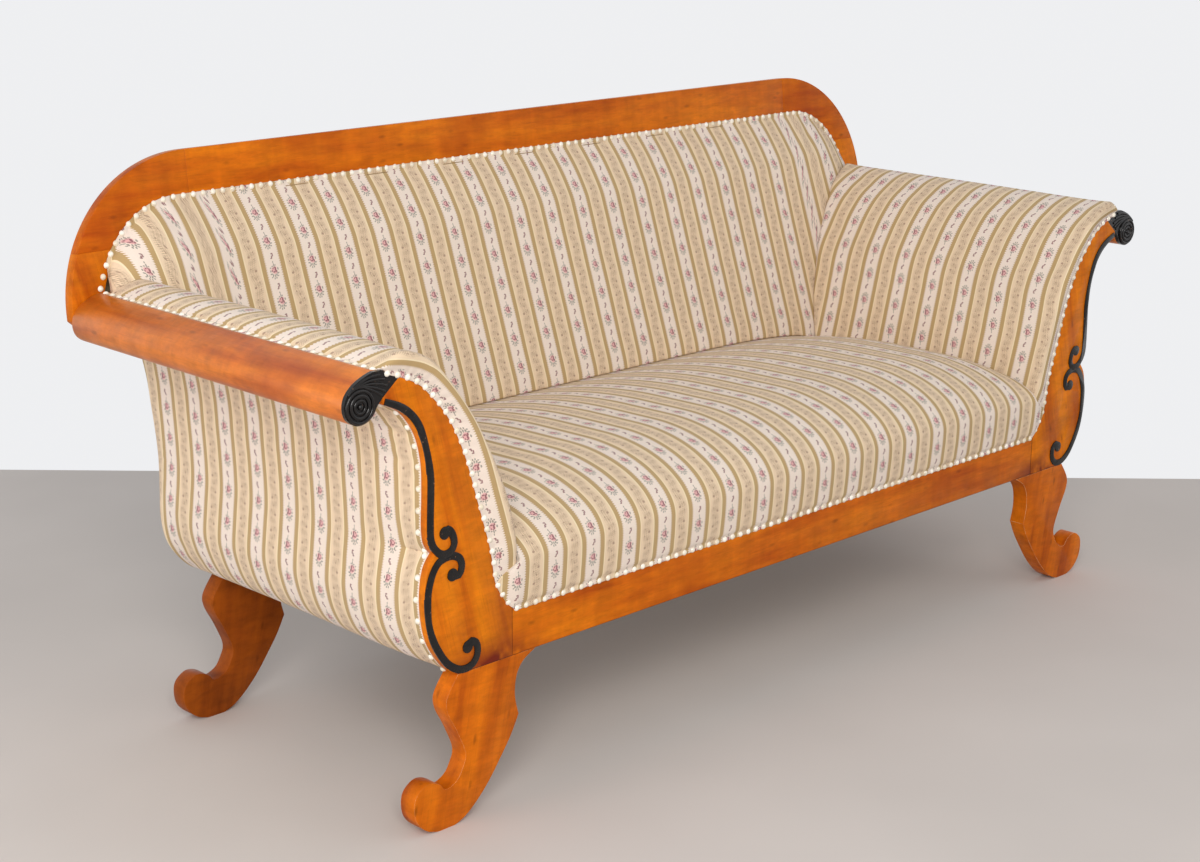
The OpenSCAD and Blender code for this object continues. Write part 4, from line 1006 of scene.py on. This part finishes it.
# %% Stuff the arms
# Stripes: place at the nails, and how far they drift forwards towards the roll rail
ARM_STRIPES = {"left": (18 * mm - HEM_RUN, 8 * mm), "right": (11.5 * mm - HEM_RUN, 20 * mm)}
rail_edge = Vector((ARM_X + 0.840 * ARM_SPREAD, RAIL_Z + 1.002 * ARM_RISE))
level = (rail_edge - wood_edge[0]).normalized()
above = Vector((-level.y, level.x))
# Hem on top of the roll rail, from its outer edge in: (place across the rail, height over it)
RAIL_HEM = [(rail_edge - level * 4.5 * mm, 0.5 * mm), (rail_edge - level * 5 * mm, CLOTH),
            (wood_edge[0] + level * 6 * mm, CLOTH)]
ON_ARM = len(RAIL_HEM)
skin_line = [p + above * h for p, h in RAIL_HEM] + pad_skin
under_line = [p for p, h in RAIL_HEM] + wood_edge
arm_runs = runs(skin_line)
# Points of a ring: over the front border, back to the frame, and home underneath
BORDER, REACH, HOME = 13, 56, 10
ARM_REACH = len(HEM) + BORDER + REACH - 1
# On the roll rail the cloth starts this far behind the front, clear of the volute
RAIL_START = 8 * mm


def border(share, swell):
    """The front rises slowly from the nails and rolls over quickly into the arm's inner side"""
    past = max(0, (share - 0.7) / 0.3)
    return (CLOTH + swell * sin(pi / 2 * min(1, share / 0.7))) * sqrt(max(0, 1 - past * past))


def arm_ring(i, side):
    """Ring i of an arm; the first few lie on the roll rail and the others start at a nail"""
    outer, under = skin_line[i], under_line[i]
    outer_end, under_end = (back_front(p.x, p.y) - 1 * mm for p in (outer, under))
    k = i - ON_ARM
    if k < 0:
        front = len(HEM) + BORDER
        ring = [(outer, RAIL_START + 0.1 * mm * n) for n in range(front)]
        start_y = RAIL_START + 0.1 * mm * front
        ring += [(outer, mix(start_y, outer_end, n / REACH)) for n in range(1, REACH + 1)]
    else:
        nail = nail_line[k]
        lean = (outer - nail).normalized()
        start = nail + lean * NAIL_ROOM
        out = (outer - start).normalized()
        swell = min(SWELL, 0.28 * (outer - start).length) * ease_in(nail.y - 400 * mm, 50 * mm)
        crown = 5 * mm * max(0, 1 - 1.25 * k / (len(nail_line) - 1))
        ring = [(nail + lean * z, -d) for d, z in HEM]
        for share in ((1 - cos(pi * n / (BORDER - 1))) / 2 for n in range(BORDER)):
            ring.append((mix(start, outer, share), -border(share, swell)))
        for share in (n / REACH for n in range(1, REACH + 1)):
            ring.append((outer + out * crown * sin(pi * share), outer_end * share))
    under_start = RAIL_START if k < 0 else 0
    ring += [(under, mix(under_start, under_end, n / HOME)) for n in range(HOME, -1, -1)]
    return [Vector((side * p.x, FRONT_Y + y, p.y)) for p, y in ring]


def stuff_arm(side, word):
    rings = [arm_ring(i, side) for i in range(len(skin_line))]
    ring_runs = [round_runs(ring) for ring in rings]
    shift, drift = ARM_STRIPES[word]

    def cloth(i, j):
        forwards = drift * (1 - ease_in(arm_runs[i] - arm_runs[ON_ARM], 260 * mm))
        return ring_runs[max(i, ON_ARM)][j] + shift + forwards, arm_runs[i]

    def pull(i, j):
        return arm_runs[i], ring_runs[i][j] - HEM_RUN

    def free(i, j):
        from_ends = min(arm_runs[i] - arm_runs[ON_ARM], arm_runs[-1] - arm_runs[i])
        share = ease_in(ring_runs[i][j] - HEM_RUN - 40 * mm, 30 * mm) * ease_in(from_ends, 40 * mm)
        return share if i > ON_ARM and j < ARM_REACH else 0

    cushion(f"arm_cushion_{word}", f"arm_pad_{word}", rings, cloth, pull, free, cap=5 * mm, shrink=2 * mm)


stuff_arm(-1, "left")
stuff_arm(1, "right")

# %% [markdown]
# ## The outer covers
# The cloth on the outside is nailed to the front board's cusped edge. Behind the nails it springs free
# of the cusp and fills out to a smooth belly. At the rear it runs on over the edge of the back frame.
# The stripes hang upright.

# %% Stuff the outer covers
SIDE_SHIFT, SIDE_START, FRAME_GAP = 63 * mm, 14 * mm, 0.5 * mm
SKIN, SKIN_AT_NAILS, SKIN_ON_FRAME = 10 * mm, 3 * mm, 2.4 * mm
PAST_FRAME = (0.3 * mm, 11 * mm, 20.5 * mm, 21.5 * mm)
# How far the cover has left the board's edge for its belly: (depth, share)
FILLING = [(14 * mm, 0), (34 * mm, 0.02), (90 * mm, 0.65), (186 * mm, 0.95), (380 * mm, 1.0), (900 * mm, 1.0)]
filling = smooth_curve([Vector(p) for p in FILLING], 6)


def filled(y):
    """Share of the filling at depth y"""
    for a, b in zip(filling, filling[1:]):
        if a.x <= y <= b.x:
            return max(0, min(1, mix(a.y, b.y, (y - a.x) / (b.x - a.x))))
    return 0.0 if y < filling[0].x else 1.0


def inward(points, distance):
    """The outline moved towards the sofa"""
    out = []
    for k, p in enumerate(points):
        d = (points[min(k + 1, len(points) - 1)] - points[max(k - 1, 0)]).normalized()
        out.append(p + Vector((d.y, -d.x)) * distance)
    return out


def side_ring(t, side, past=0.0):
    """Ring at share t of the way back, or past it over the edge of the back frame"""
    outer = []
    for edge, round_out in zip(cover_edge, belly):
        y = mix(SIDE_START, back_line(edge.y) - FRAME_GAP, t) + past
        outer.append((mix(edge, round_out, filled(y)), y))
    skin_here = mix(SKIN_AT_NAILS, SKIN, filled(mix(SIDE_START, REAR_DEPTH, t)))
    inner = inward([p for p, y in outer], SKIN_ON_FRAME if past else skin_here)
    ring = outer + [(p, y) for p, (_, y) in zip(reversed(inner), reversed(outer))]
    return [Vector((side * p.x, FRONT_Y + y, p.y)) for p, y in ring]


def stuff_side(side, word):
    rings = [side_ring((k / 60) ** 1.25, side) for k in range(61)]
    rings += [side_ring(1, side, past) for past in PAST_FRAME]
    ring_runs = [round_runs(ring) for ring in rings]
    count = len(cover_edge)

    def behind(i):
        """Depth of ring i behind the nails"""
        return rings[i][0].y - rings[0][0].y

    def cloth(i, j):
        return rings[i][j % len(rings[i])].y + SIDE_SHIFT, -ring_runs[i][j]

    def pull(i, j):
        return ring_runs[i][j], behind(i)

    def free(i, j):
        share = ease_in(behind(i), 60 * mm) * ease_in(min(j, count - 1 - j) / count, 0.12)
        return share if 0 < j < count - 1 else 0

    cushion(f"outer_cover_{word}", f"side_cover_{word}", rings, cloth, pull, free,
            fill=0.7, cap=5 * mm, shrink=1.5 * mm)


stuff_side(-1, "left")
stuff_side(1, "right")

# %% [markdown]
# ## Finishes for the pieces that keep their CAD shape
# Nail heads, the hidden frame, the springs and the cloths are right as they were packed, so each only
# trades its grey for one of the finishes above.

# %% Dress the CAD pieces
KEPT_FINISHES = (
    (enamel, "nails_"), (ebony, "carved_volute"), (iron, "seat_springs"), (jute, "seat_webbing back_webbing"),
    (linen, "seat_canvas arm_canvas back_cloth"),
    (deal, "rear_seat_rail side_seat_rail corner_blocks back_lower_rail foot_dowels"),
)
for finish, starts in KEPT_FINISHES:
    kept = [node for cad_name, node in nodes.items() if cad_name.startswith(tuple(starts.split()))]
    for piece in kept:
        piece.data.materials.clear()
        piece.data.materials.append(finish)
    print(finish.name, "on", len(kept))

# %% Print the sizes and finish
sizes = {"cad": [list(c) for c in cad_box], "visual": [list(c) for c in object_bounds()]}
pairs = [(c, v) for cad, visual in zip(*sizes.values()) for c, v in zip(cad, visual)]
print("visual minus CAD, mm:", [round((v - c) / mm, 1) for c, v in pairs])
